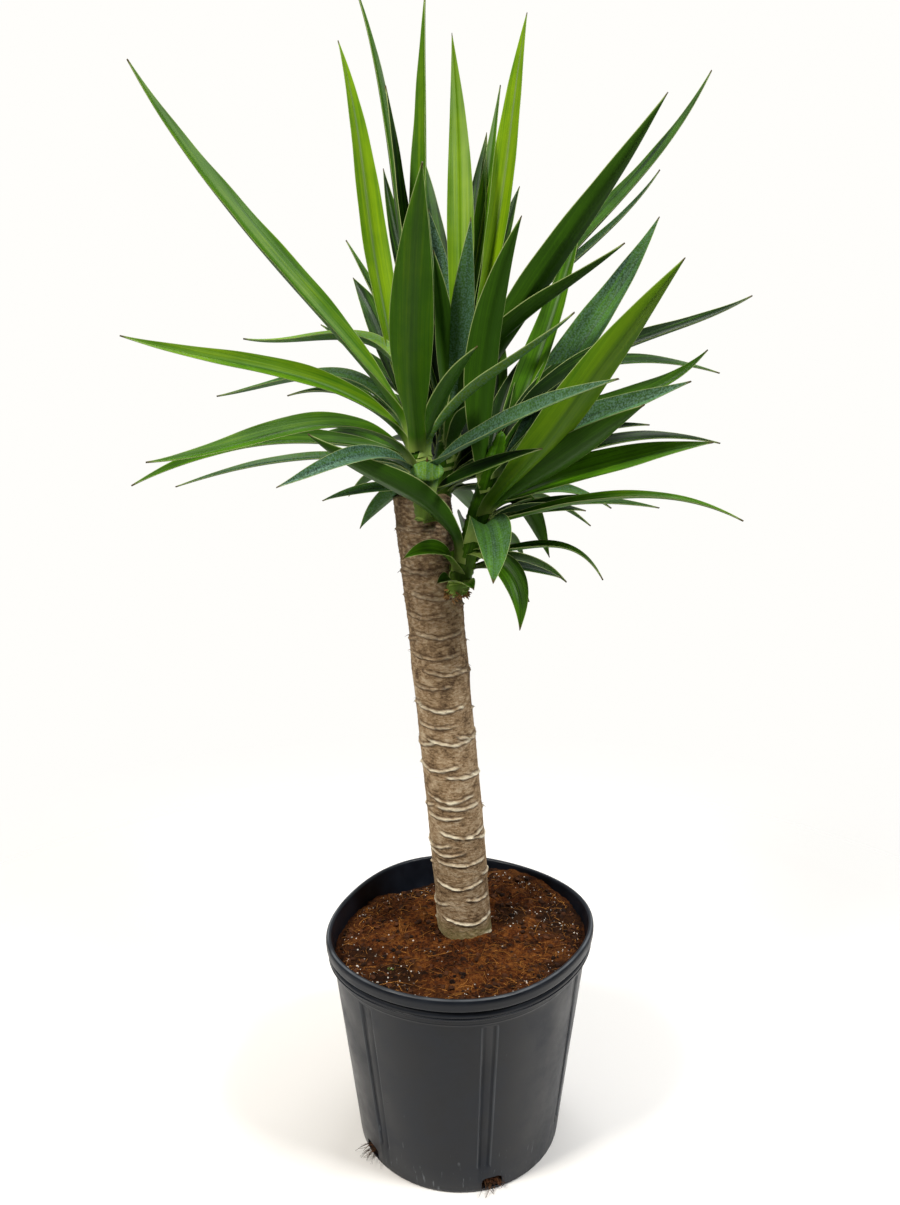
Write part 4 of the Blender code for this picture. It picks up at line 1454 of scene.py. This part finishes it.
    def shred(self, draw: random.Random, master: Master, spot: tuple, at_shoot: bool) -> Array:
        """One ragged shred of bark that curls off the cane.

        Args:
            draw: the source of its shape.
            master: the straight shred.
            spot: the way it faces, in radians, its height, and the ranges of its length and thickness.
            at_shoot: whether it stands round the side shoot's foot, and not round the cane.

        Returns:
            Its points.
        """
        turn, z, lengths, thicknesses = spot
        length, thick = draw.uniform(*lengths), draw.uniform(*thicknesses)
        along = (master.points[:, 0] + 1) / 2
        out = Vector((math.cos(turn), math.sin(turn), draw.uniform(-0.5, 0.6))).normalized()
        side = Vector((-math.sin(turn), math.cos(turn), draw.uniform(-0.3, 0.3)))
        lean = draw.uniform(-self.shred_lean, self.shred_lean)
        curl = draw.uniform(-self.shred_curl, self.shred_curl)
        axis, radius = self.shoot_foot if at_shoot else (self.centre(z), self.radius)
        start = np.array([*axis, z]) + np.array((math.cos(turn), math.sin(turn), 0)) * radius
        path = np.outer(along, np.array(out) * 0.55 + np.array(side) * lean * 0.6)
        path += np.outer(along**2, np.array(side) * curl * 0.5 + np.array((0, 0, -0.25)))
        width = master.points[:, 1:2] * thick * np.array(side.cross(out))
        depth = master.points[:, 2:3] * thick * np.array((0, 0, 1.0))
        return start + path * length + width + depth

    def lay_shreds(self, name: str, draw: random.Random, spots: list[tuple]) -> Piece:
        """Makes one piece of shreds.

        Args:
            name: the piece's name.
            draw: the source of their shapes.
            spots: for each, the way it faces, its height, and the ranges of its length and thickness.

        Returns:
            The piece.
        """
        master = Soil.strand_master()
        copies = [self.shred(draw, master, spot, name == "torn_collar") for spot in spots]
        shreds = master.copied(name, copies, [draw.random() for _ in copies])
        close_and_turn_out(shreds, 0.0001)
        return shreds

    def build_shreds(self) -> Piece:
        """Ragged shreds on the scars, most of them near the top."""
        draw = random.Random("bark shreds")
        scars = [scar for scar in self.scars() if scar.height > 235]
        spots = []
        for _ in range(self.shreds):
            scar = draw.choice(scars)
            share = draw.uniform(-0.95, 0.95)
            if draw.random() < 0.25 + float(ease(300, 620, scar.height)):
                turn = math.radians(scar.turn + share * scar.span)
                spots.append((turn, scar.height + scar.droop * abs(share), *self.shred_size))
        return self.lay_shreds("bark_shreds", draw, spots)

    def build_collar(self) -> Piece:
        """The torn bark round the foot of the side shoot."""
        draw = random.Random("torn collar")
        turns, heights = self.flake_place
        spots = [
            (math.radians(draw.uniform(*turns)), draw.gauss(*heights), *self.flake_size)
            for _ in range(self.collar_flakes)
        ]
        return self.lay_shreds("torn_collar", draw, spots)

    def dress(self) -> None:
        """Builds the cane with its bark, its sawn top and its shreds."""
        cane = settle(self.build(), "cane", CaneBark().material(), "trunk", 70)
        cane.data.materials.append(SawnWood().material())
        for face in cane.data.polygons:
            if face.normal.z > 0.8 and face.center.z > (self.top - 2) * MM:
                face.material_index = 1
        dry = LooseBits("bark_shred_dry", "3B2A1C", "A28660").material()
        torn = LooseBits("bark_torn_orange", "4A2E18", "A47C4C").material()
        settle(self.build_shreds(), "bark_shreds", dry)
        settle(self.build_collar(), "torn_collar", torn)


# The leaves


class Tone(Enum):
    """A leaf's colour: how bright its green is, partly by its age and partly as painted light and shade where
    it is backlit or shaded, and how much waxy film and painted sheen lies on it.
    """

    DARK = (0.05, 0.0)
    DEEP = (0.2, 0.1)
    MID = (0.42, 0.0)
    FRESH = (0.56, 0.0)
    BRIGHT = (0.8, 0.0)
    BLUE = (0.14, 0.8)
    GREY = (0.26, 0.4)
    SILK = (0.44, 0.35)
    SAGE = (0.72, 0.6)


class Shape(Enum):
    """How a blade's width runs from root to tip, as shares of its widest."""

    SWORD = ((0.0, 0.56), (0.1, 0.46), (0.28, 0.8), (0.45, 1.0), (0.6, 0.93), (0.78, 0.62), (1.0, 0.02))
    SPADE = ((0.0, 0.4), (0.25, 0.42), (0.5, 0.75), (0.7, 1.0), (0.86, 0.9), (0.96, 0.4), (1.0, 0.05))


@dataclass(frozen=True)
class Leaf:
    """A leaf, laid out as in the solids.

    Args:
        rise: how far up the stem it stands.
        heading: the way that it points, 0 being +X and 90 +Y.
        lift: the angle of its straight line to the tip above the horizontal.
        length: of that line.
        width: at its widest.
        roll: how far it is turned about its own length.
        bow: how far its middle stands above the straight line.
        sway: how far its middle stands to the left of it.
        swing: how much further it stands above the line near its root, and nearer it near its tip.
        tone: its colour.
        shape: its outline.
    """

    rise: float
    heading: float
    lift: float
    length: float
    width: float
    roll: float
    bow: float
    sway: float = 0.0
    swing: float = 0.0
    tone: Tone = Tone.MID
    shape: Shape = Shape.SWORD


FRONT_LEAVES = (
    Leaf(25, -52, 16, 165, 17, -50, 4, 0, 0, Tone.DARK),
    Leaf(29, 150, -7, 122, 12, 55, 7, 0, 0, Tone.GREY),
    Leaf(36, 140, -30, 99, 18, -33, 11, -2, 0, Tone.GREY),
    Leaf(40, -119, 1, 211, 17, 42, 23, 2, 4, Tone.BLUE),
    Leaf(47, 169, -4, 252, 11, 35, 20, 0, 2, Tone.GREY),
    Leaf(47, -56, 16, 267, 22, -50, 8, -1, 0, Tone.BLUE),
    Leaf(52, -142, 2, 260, 22, 37, 32, 3, 10, Tone.MID),
    Leaf(57, 148, 21, 174, 16, 25, 29, 0, 0, Tone.DEEP),
    Leaf(57, -160, -4, 258, 22, 35, 29, 0, 0, Tone.MID),
    Leaf(58, -54, 48, 130, 20, 0, 11, 0, 0, Tone.DEEP),
    Leaf(62, 157, 14, 235, 22, 20, 49, -2, 10, Tone.GREY),
    Leaf(62, -44, 33, 209, 14, 4, 11, 0, 4, Tone.SAGE),
    Leaf(66, -87, 43, 287, 36, 0, 0, -7, 0, Tone.MID),
    Leaf(67, -158, 20, 274, 23, 50, 22, 2, 7, Tone.FRESH),
    Leaf(88, 159, 25, 203, 24, 14, 47, -11, 13, Tone.SAGE),
    Leaf(81, -170, 52, 387, 33, 37, -3, 0, 5, Tone.FRESH),
    Leaf(85, 127, 71, 391, 27, 7, -9, -3, -7, Tone.BRIGHT),
    Leaf(94, 160, 85, 290, 24, 5, 6, 0, 0, Tone.DARK),
    Leaf(99, 21, 88, 354, 28, -10, -1, 0, -1, Tone.FRESH),
)

REAR_LEAVES = (
    Leaf(30, -6, 8, 120, 24, -35, 12, 0, 0, Tone.DARK),
    Leaf(33, 18, 14, 150, 24, -30, 16, 0, 0, Tone.DARK),
    Leaf(36, -22, 24, 110, 22, -20, 8, 0, 0, Tone.DARK),
    Leaf(40, 2, 34, 150, 26, -20, 10, 0, 0, Tone.DARK),
    Leaf(48, 5, 19, 296, 22, -37, 51, 0, 0, Tone.DEEP),
    Leaf(58, -32, 46, 262, 26, 15, 35, -5, 8, Tone.DARK),
    Leaf(68, 137, 56, 264, 22, -5, 6, 0, 0, Tone.MID),
    Leaf(79, 130, 69, 294, 28, 15, -2, 0, 2, Tone.DARK),
    Leaf(79, -72, 72, 207, 26, 0, -3, 0, 0, Tone.BLUE),
    Leaf(79, -103, 70, 180, 21, 0, 3, 4, 0, Tone.DARK),
    Leaf(80, -38, 51, 352, 29, 36, 10, 0, 3, Tone.DARK),
    Leaf(89, 145, 75, 448, 21, -5, -4, 1, -9, Tone.MID),
    Leaf(89, 111, 74, 230, 24, 0, 7, -6, 0, Tone.BLUE),
    Leaf(90, 11, 53, 434, 29, -25, 8, 1, 10, Tone.DEEP),
    Leaf(99, 65, 74, 295, 20, 20, -5, -4, 0, Tone.MID),
    Leaf(99, 14, 49, 328, 17, -20, 16, 0, 10, Tone.GREY),
    Leaf(109, 92, 80, 374, 27, -2, -2, -8, 4, Tone.BRIGHT),
    Leaf(114, 49, 74, 406, 28, -17, -9, -1, -4, Tone.BRIGHT),
    Leaf(119, 60, 74, 329, 20, 15, -2, 0, 0, Tone.MID),
)

SHEATHS = (  # short pale bracts that clasp a shoot's foot
    Leaf(1, -55, 74, 26, 19, 0, 3, tone=Tone.BRIGHT, shape=Shape.SPADE),
    Leaf(3, -140, 76, 28, 19, 0, 3, tone=Tone.FRESH, shape=Shape.SPADE),
    Leaf(7, -8, 72, 30, 18, 0, 4, tone=Tone.FRESH, shape=Shape.SPADE),
    Leaf(12, -96, 80, 34, 20, 0, 2, tone=Tone.BRIGHT, shape=Shape.SPADE),
)

BLUNT_LEAF = Leaf(50, -42, 60, 72, 24, 0, 4, 0, 0, Tone.DEEP, Shape.SPADE)  # a short one in the rear crown

SIDE_LEAVES = (
    Leaf(14, -117, 5, 48, 13, 35, 4, 0, 0, Tone.MID),
    Leaf(16, -70, -8, 36, 14, -15, 3, 0, 0, Tone.MID),
    Leaf(25, -132, 13, 84, 18, 45, 15, 0, 0, Tone.MID),
    Leaf(29, 6, -8, 97, 14, -35, 6, 0, 0, Tone.DEEP),
    Leaf(29, 13, -30, 77, 14, -42, 15, 0, 0, Tone.DEEP),
    Leaf(35, -144, 36, 204, 26, -38, 16, 4, 6, Tone.DARK),
    Leaf(45, -50, -43, 98, 24, -30, 22, 7, 0, Tone.MID),
    Leaf(50, -23, -11, 133, 11, -21, 17, 1, -8, Tone.MID),
    Leaf(55, -81, -13, 107, 35, -2, 31, 7, 6, Tone.SILK),
    Leaf(65, 8, 9, 111, 16, -37, 10, 0, 0, Tone.DARK),
    Leaf(70, -20, 3, 243, 14, -21, 24, 0, -4, Tone.FRESH),
    Leaf(75, 18, 2, 197, 16, -30, 12, 0, 0, Tone.DEEP),
    Leaf(75, 40, -24, 110, 23, 33, 37, 2, 5, Tone.MID),
    Leaf(80, 20, 1, 144, 16, -40, 23, 0, 0, Tone.SAGE),
    Leaf(83, -54, 40, 305, 33, 38, -4, 0, -2, Tone.BRIGHT),
    Leaf(83, -43, 29, 200, 32, 38, 2, 0, 0, Tone.DARK),
    Leaf(85, -24, 17, 221, 30, -52, 9, 0, 0, Tone.MID),
    Leaf(95, 14, 12, 252, 18, -32, 27, 0, 0, Tone.DARK),
    Leaf(105, -65, 75, 239, 31, 11, 18, -10, 0, Tone.DARK),
    Leaf(105, 40, 64, 281, 30, -15, -4, 0, 0, Tone.MID),
    Leaf(105, 20, 19, 186, 20, -30, 18, 0, 0, Tone.DEEP),
    Leaf(105, 58, 62, 138, 22, 0, 6, 3, 0, Tone.DARK),
    Leaf(110, 13, 30, 254, 30, -29, 7, -2, 9, Tone.MID),
    Leaf(115, 23, 54, 306, 35, -35, -2, 0, 2, Tone.GREY),
    Leaf(115, 24, 43, 201, 22, -20, 25, 0, 0, Tone.DARK),
    Leaf(119, -35, 23, 207, 28, -54, 9, 0, 2, Tone.BLUE),
    Leaf(124, 9, 33, 298, 27, -26, 32, 0, 10, Tone.DARK),
)


@dataclass
class Head:
    """A leafy shoot: its stem, the leaves that the photograph shows, and a spiral of hidden ones.

    Args:
        name: the solid that it stands for.
        foot: the stem's lower end.
        top: the stem's upper end.
        stem_radius: the stem's radius at its foot.
        leaves: the leaves that the photograph shows.
        fill_count: how many places the spiral has.
        fill_kept: the places of the spiral that are clear of the other heads.
        fill_heading: the middle of the hidden side.
        fill_fan: how far the lowest of the hidden leaves spread.
        fill_lengths: of the lowest and the highest of them.
        stub: the middle of the rounded stub that a broken leaf left, if there is one.
        painted_crown_shade: how much darker the leaves are painted near their roots, as shade deep in the
            crown.
    """

    name: str
    foot: tuple
    top: tuple
    stem_radius: float
    leaves: tuple
    fill_count: int
    fill_kept: tuple
    fill_heading: float
    fill_fan: float
    fill_lengths: tuple
    stub: tuple = ()
    painted_crown_shade: float = 0.3
    stem_taper: tuple = ((0, 1), (0.5, 1), (0.85, 0.8), (0.97, 0.45), (1.0, 0.1))
    fill_rises: tuple = (0.2, 0.92)
    fill_lifts: tuple = (-14, 62)
    fill_widths: tuple = (20, 29)
    fill_narrowing: float = 0.67
    fill_bows: tuple = (1.1, 0.1)
    folds: tuple = (0.78, 0.34)
    thicknesses: tuple = (2.2, 0.9)
    margin_thickness: float = 0.5
    clasp_length: float = 18
    clasp_turn: float = 52
    clasp_drop: float = 3.0  # how far its sides run down the stem
    least_width: float = 0.5
    wave_length: float = 64
    wave: float = 0.012
    wander: float = 0.0025
    wander_waves: tuple = (8, 10)
    twist: float = 3
    twist_waves: float = 9
    swing_scale: float = 10.4
    ring_step: float = 6.5
    ring: float = 0.5
    dim_to: tuple = (30, 130)  # millimetres from the root at which the painted crown shade starts to go and is gone
    tone_change: float = 0.06

    @property
    def axis(self) -> Array:
        """The stem's direction."""
        return (np.array(self.top, float) - np.array(self.foot)) / self.stem_length

    @property
    def stem_length(self) -> float:
        """From the stem's foot to its crown."""
        return float(np.linalg.norm(np.array(self.top, float) - np.array(self.foot)))

    def radius_at(self, rise: float) -> float:
        """The stem's radius at a height up it."""
        return self.stem_radius * float(np.interp(rise / self.stem_length, *zip(*self.stem_taper)))

    def hidden_leaves(self) -> list[Leaf]:
        """The spiral of leaves that the photograph hides, as in the solids."""
        draw = random.Random(self.name)
        spiral = []
        for k in range(self.fill_count):
            share = (k + 0.5) / self.fill_count
            turn = (k * GOLDEN_ANGLE / 360) % 1.0 - 0.5
            leaf = Leaf(
                rise=self.stem_length * blend(self.fill_rises, share),
                heading=self.fill_heading + self.fill_fan * turn * (1 - self.fill_narrowing * share),
                lift=blend(self.fill_lifts, share) + draw.uniform(-6, 6),
                length=blend(self.fill_lengths, share * draw.uniform(0.8, 1)),
                width=blend(self.fill_widths, share),
                roll=draw.uniform(-30, 30),
                bow=draw.uniform(8, 34) * blend(self.fill_bows, share),
                # Hidden leaves get dark tones: painted shade at the back of the crown.
                tone=(Tone.DARK, Tone.DARK, Tone.DEEP)[k % 3],
            )
            spiral.append(leaf)
        return [spiral[k] for k in self.fill_kept]

    def lay_blade(self, master: Master, leaf: Leaf, draw: random.Random) -> tuple[Array, ...]:
        """Lays one copy of the flat blade along a leaf's curve.

        Args:
            master: the flat blade: X across from -1 to 1, Y along from 0 to 1, Z 0 on top and -1 below.
            leaf: the leaf.
            draw: the source of its small irregularities.

        Returns:
            Its points, and its blade, skin and underside values.
        """
        across_share, along, below = master.points.T * [[1], [1], [-1]]
        edge = np.abs(across_share)
        stem = self.radius_at(leaf.rise)
        start = min(0.9 * stem / leaf.length, 0.3)
        s = start + (1 - start) * along
        heading, lift = math.radians(leaf.heading), math.radians(leaf.lift)
        ahead = np.array([math.cos(heading), math.sin(heading), 0])
        across = np.array([-math.sin(heading), math.cos(heading), 0])
        chord = ahead * math.cos(lift) + np.array([0, 0, math.sin(lift)])
        bend = 4 * (np.cross(chord, across) * leaf.bow + across * leaf.sway)
        swing = self.swing_scale * leaf.swing * np.cross(chord, across)
        root = np.array(self.foot, float) + self.axis * leaf.rise
        centre = root + np.outer(s, chord * leaf.length)
        centre += np.outer(s * (1 - s), bend) + np.outer(s * (1 - s) * (1 - 2 * s), swing)
        run = chord * leaf.length + np.outer(1 - 2 * s, bend) + np.outer(1 - 6 * s + 6 * s**2, swing)
        run /= np.linalg.norm(run, axis=1)[:, None]
        side = across - run * (run @ across)[:, None]
        side /= np.linalg.norm(side, axis=1)[:, None]
        up = np.cross(run, side)
        phases = [draw.uniform(0, math.tau) for _ in range(3)]
        free = ease(0.15, 0.5, s) * (1 - 0.7 * s)
        twist = math.radians(self.twist) * np.sin(self.twist_waves * s + phases[0]) * free
        turn = -math.radians(leaf.roll) * ease(0, 0.22, s) + twist
        cos, sin = np.cos(turn)[:, None], np.sin(turn)[:, None]
        side, up = side * cos + up * sin, up * cos - side * sin
        for way, waves, phase in zip((side, up), self.wander_waves, phases[1:]):
            centre = centre + way * (self.wander * leaf.length * free * np.sin(waves * s + phase))[:, None]

        half = np.maximum(smooth_curve(leaf.shape.value, s) * leaf.width / 2, self.least_width / 2)
        waves = leaf.length / self.wave_length
        phase = draw.uniform(0, math.tau)
        margin_wave = self.wave * leaf.width * np.sin(waves * math.tau * s + phase + across_share) * edge**3
        margin_wave *= ease(0.1, 0.3, s) * (1 - ease(0.75, 1, s))
        thick = blend(self.thicknesses, s) * (1 - edge**2) + self.margin_thickness
        lift_off = half * blend(self.folds, s) * (edge**1.3 - 0.5) + margin_wave - below * thick
        points = centre + side * (across_share * half)[:, None] + up * lift_off[:, None]

        clasp = min(self.clasp_length, 0.4 * leaf.length)
        along_mm = along * (1 - start) * leaf.length
        leaving = np.sin(np.clip(along_mm / clasp, 0, 1) * math.pi / 2)[:, None]
        round_stem = np.radians(self.clasp_turn) * across_share
        radius = stem - 0.4 + below * 1.6
        arc = np.outer(np.cos(round_stem) * radius, ahead) + np.outer(np.sin(round_stem) * radius, across)
        sheath = root + arc - np.array([0, 0, self.clasp_drop]) * edge[:, None]

        # The tone is partly the leaf's age and partly painted light and shade.
        tone, bloom_and_sheen = leaf.tone.value
        tone += draw.uniform(-self.tone_change, self.tone_change)
        # Painted shade: darker near the root, deep in the crown.
        tone = tone - self.painted_crown_shade * (1 - ease(*self.dim_to, along_mm))
        blade = np.column_stack([across_share * half, along_mm, (1 - along) * leaf.length])
        skin = np.column_stack([tone, np.full(len(s), bloom_and_sheen), half * (1 - edge)])
        return sheath * (1 - leaving) + points * leaving, blade, skin, below

    def build_stem(self) -> Piece:
        """The stem, with the rings of fallen leaves and a pointed crown."""
        length = self.stem_length
        bpy.ops.mesh.primitive_cylinder_add(vertices=32, radius=1, depth=length, location=(0, 0, length / 2))
        stem = added()
        with editing(stem, "DESELECT"):
            pick(stem, "edges", reaches(2, 1))
            bpy.ops.mesh.subdivide(number_cuts=60)
        points = read_points(stem)
        rise = points[:, 2]
        radius = np.array([self.radius_at(value) for value in rise])
        radius += self.ring * np.sin(rise / self.ring_step * math.tau)
        radius += self.ring * roughness_at(points * (6, 6, 1), 9)
        points[:, :2] *= np.maximum(radius, 0.4)[:, None]
        blade = np.column_stack([read_points(stem)[:, 0] * 9, 9 + rise / 9, np.full(len(rise), 99)])
        centre = np.array(self.foot, float) + np.outer(rise, self.axis)
        write_points(stem, centre + points * (1, 1, 0))
        # The stem's low tone is partly its own dark green and partly painted shade in the crown's middle.
        skin = np.tile((0.34, 0.0, 9.0), (len(rise), 1))
        write_attributes(stem, blade=blade, skin=skin, underside=np.zeros(len(rise)))
        return stem

    def build_stub(self) -> Piece:
        """The rounded stub of a broken leaf: a pale shield that leans back on a short stalk."""
        bpy.ops.mesh.primitive_uv_sphere_add(segments=28, ring_count=14, radius=1)
        shield = added()
        bpy.ops.mesh.primitive_cone_add(vertices=20, radius1=5, radius2=9, depth=26)
        stalk = added()
        bpy.ops.mesh.primitive_cone_add(vertices=12, radius1=2.2, radius2=0.4, depth=7)
        point = added()
        # The shield's and stalk's pale grey-green is partly a waxy film and partly painted sheen.
        for piece, shift, lean, size, from_tip, skin in (
            (shield, (0, 0, 0), -38, (15.5, 3.2, 11), 60.0, (0.6, 0.5, 9.0)),
            (stalk, (2.5, 1, -15), -8, (1, 0.5, 1), 60.0, (0.45, 0.6, 9.0)),
            (point, (0, 5.5, 9), 0, (1, 1, 1), 1.0, (0.4, 0.0, 9.0)),
        ):
            shape = Matrix.Rotation(math.radians(lean), 4, "X") @ Matrix.Diagonal((*size, 1))
            piece.data.transform(Matrix.Translation(Vector(self.stub) + Vector(shift)) @ shape)
            points = read_points(piece) - self.stub
            count = len(points)
            blade = np.column_stack([points[:, 0] * 1.5, points[:, 2] + 22, np.full(count, from_tip)])
            write_attributes(piece, blade=blade, skin=np.tile(skin, (count, 1)), underside=np.zeros(count))
        return join([shield, stalk, point])

    def dress(self, master: Master, skin: bpy.types.Material) -> None:
        """Builds the shoot: every blade is laid along its curve and joined to the stem.

        Args:
            master: the flat blade.
            skin: the leaf's material.
        """
        draw = random.Random(f"{self.name} blades")
        laid = [self.lay_blade(master, leaf, draw) for leaf in (*self.leaves, *self.hidden_leaves())]
        points, *values = zip(*laid)
        foliage = master.copied(self.name, list(points))
        write_attributes(foliage, **dict(zip(("blade", "skin", "underside"), map(np.concatenate, values))))
        foliage = join([foliage, self.build_stem(), *([self.build_stub()] if self.stub else [])])
        close_and_turn_out(foliage, 0.0001)
        settle(foliage, self.name.replace("head", "foliage"), skin, self.name, 60)


HEADS = (
    Head(
        name="head_front",
        foot=(-31, -11, 652),
        top=(-46, -9, 770),
        stem_radius=11.5,
        leaves=(*FRONT_LEAVES, *SHEATHS[:2]),
        stub=(-31, -35, 699.5),
        painted_crown_shade=0.0,
        fill_count=10,
        fill_kept=(2, 4, 5, 7),
        fill_heading=105,
        fill_fan=130,
        fill_lengths=(150, 250),
    ),
    Head(
        name="head_rear",
        foot=(-24, 40, 650),
        top=(-2, 62, 780),
        stem_radius=12,
        leaves=(*REAR_LEAVES, BLUNT_LEAF),
        fill_count=25,
        fill_kept=tuple(range(25)),
        fill_heading=92,
        fill_fan=130,
        fill_lengths=(190, 340),
    ),
    Head(
        name="head_side",
        foot=(-4, -3, 580),
        top=(38, -18, 735),
        stem_radius=11,
        leaves=(*SIDE_LEAVES, *SHEATHS),
        painted_crown_shade=0.15,
        fill_count=13,
        fill_kept=(0, 1, 2, 3, 6, 10),
        fill_heading=70,
        fill_fan=100,
        fill_lengths=(110, 240),
    ),
)


@dataclass
class Foliage:
    """The three heads, whose blades are all copies of one flat blade."""

    across: int = 12
    along: int = 46
    heads: tuple = HEADS

    def blade_master(self) -> Master:
        """Models the flat blade: a grid, closer at its margins, thickened to a closed slab."""
        bpy.ops.mesh.primitive_grid_add(x_subdivisions=self.across, y_subdivisions=self.along, size=2)
        blade = added()
        with editing(blade):
            bpy.ops.mesh.extrude_region_move(TRANSFORM_OT_translate={"value": (0, 0, -1)})
            bpy.ops.mesh.select_all(action="SELECT")
            bpy.ops.mesh.normals_make_consistent(inside=False)
        points = read_points(blade)
        points[:, 0] = np.sin(points[:, 0] * math.pi / 2)
        points[:, 1] = (points[:, 1] + 1) / 2
        write_points(blade, points)
        return Master.taken_from(blade)

    def dress(self) -> None:
        """Builds the three heads."""
        master, skin = self.blade_master(), LeafSkin().material()
        for head in self.heads:
            head.dress(master, skin)


# The studio


@dataclass
class Studio:
    """The photograph's camera, a plain pale floor and soft light.

    The camera was fitted to the can's rim and foot in the photograph.
    """

    eye: tuple = (-0.010, -0.869, 0.7385)
    tilt: float = 79.06
    sensor: float = 36
    frame_height: float = 1205
    focal_pixels: float = 905
    floor_radius: float = 1.5
    backdrop: str = "FFFEFB"
    room: tuple = (-0.4, 0.7, 0.14, 0.46)  # from behind the camera to behind the plant, and how bright
    lamps: tuple = (  # name, place, side in metres, watts and colour
        ("ceiling_left", (-1.5, -1.1, 2.6), 0.6, 74, "FFFAF2"),
        ("ceiling_right", (1.5, -0.9, 2.6), 0.6, 56, "FFFFFF"),
        ("ceiling_back", (0.2, 0.7, 3.0), 1.0, 32, "FFFFFF"),
    )
    aim: tuple = (0, 0, 0.6)

    def camera(self) -> None:
        """Sets the camera up where the photograph was taken."""
        data = bpy.data.cameras.new("photo_camera")
        data.sensor_width = self.sensor
        data.lens = self.focal_pixels / self.frame_height * self.sensor
        camera = bpy.data.objects.new("photo_camera", data)
        camera.location = self.eye
        camera.rotation_euler = (math.radians(self.tilt), 0, 0)
        bpy.context.collection.objects.link(camera)
        bpy.context.scene.camera = camera

    def floor(self) -> None:
        """Lays the floor."""
        bpy.ops.object.select_all(action="DESELECT")
        bpy.ops.mesh.primitive_circle_add(vertices=128, radius=self.floor_radius, fill_type="NGON")
        floor = added()
        with editing(floor):
            bpy.ops.mesh.inset(thickness=self.floor_radius * 0.6)
        floor.name = "studio_floor"
        floor.data.materials.append(StudioFloor().material())
        floor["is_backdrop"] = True

    def light(self) -> None:
        """Sets the pale surroundings, and the soft square lamps that face the plant's middle."""
        world = bpy.data.worlds.new("pale_studio")
        world.use_nodes = True
        nodes = Nodes(world.node_tree)
        direction = nodes.add("TexCoord", "Generated", {})
        depth = nodes.add("SeparateXYZ", "Y", {"Vector": direction})
        room = nodes.add("MapRange", 0, span(depth, *self.room), interpolation_type="SMOOTHSTEP")
        seen = nodes.add("LightPath", "Is Camera Ray", {})
        strength = nodes.add("Mix", 0, {0: seen, 2: room, 3: 1.0}, data_type="FLOAT")
        nodes.feed(nodes.tree.nodes["Background"], {"Color": self.backdrop, "Strength": strength})
        bpy.context.scene.world = world
        for name, place, side, watts, colour in self.lamps:
            data = bpy.data.lights.new(name, "AREA")
            data.shape, data.size, data.energy = "SQUARE", side, watts
            data.color = linear(colour)[:3]
            lamp = bpy.data.objects.new(name, data)
            lamp.location = place
            lamp.rotation_euler = (Vector(self.aim) - Vector(place)).to_track_quat("-Z", "Y").to_euler()
            bpy.context.collection.objects.link(lamp)

    def dress(self) -> None:
        """Sets up the whole studio."""
        self.camera()
        self.floor()
        self.light()
        view = bpy.context.scene.view_settings
        view.view_transform, view.look = "Standard", "None"


def write_sizes() -> None:
    """Works out the solids' box and the finished model's box, in metres; nothing is written."""
    boxes = {"cad": CAD_BOX, "visual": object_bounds()}
    {name: [list(corner) for corner in box] for name, box in boxes.items()}


def main() -> None:
    """Builds every piece in order."""
    logging.basicConfig(level=logging.INFO, format="%(name)s: %(message)s")
    can = Can()
    for part in (Studio(), can, Soil(can), Cane(), Foliage()):
        part.dress()
    write_sizes()


if __name__ == "__main__":
    main()
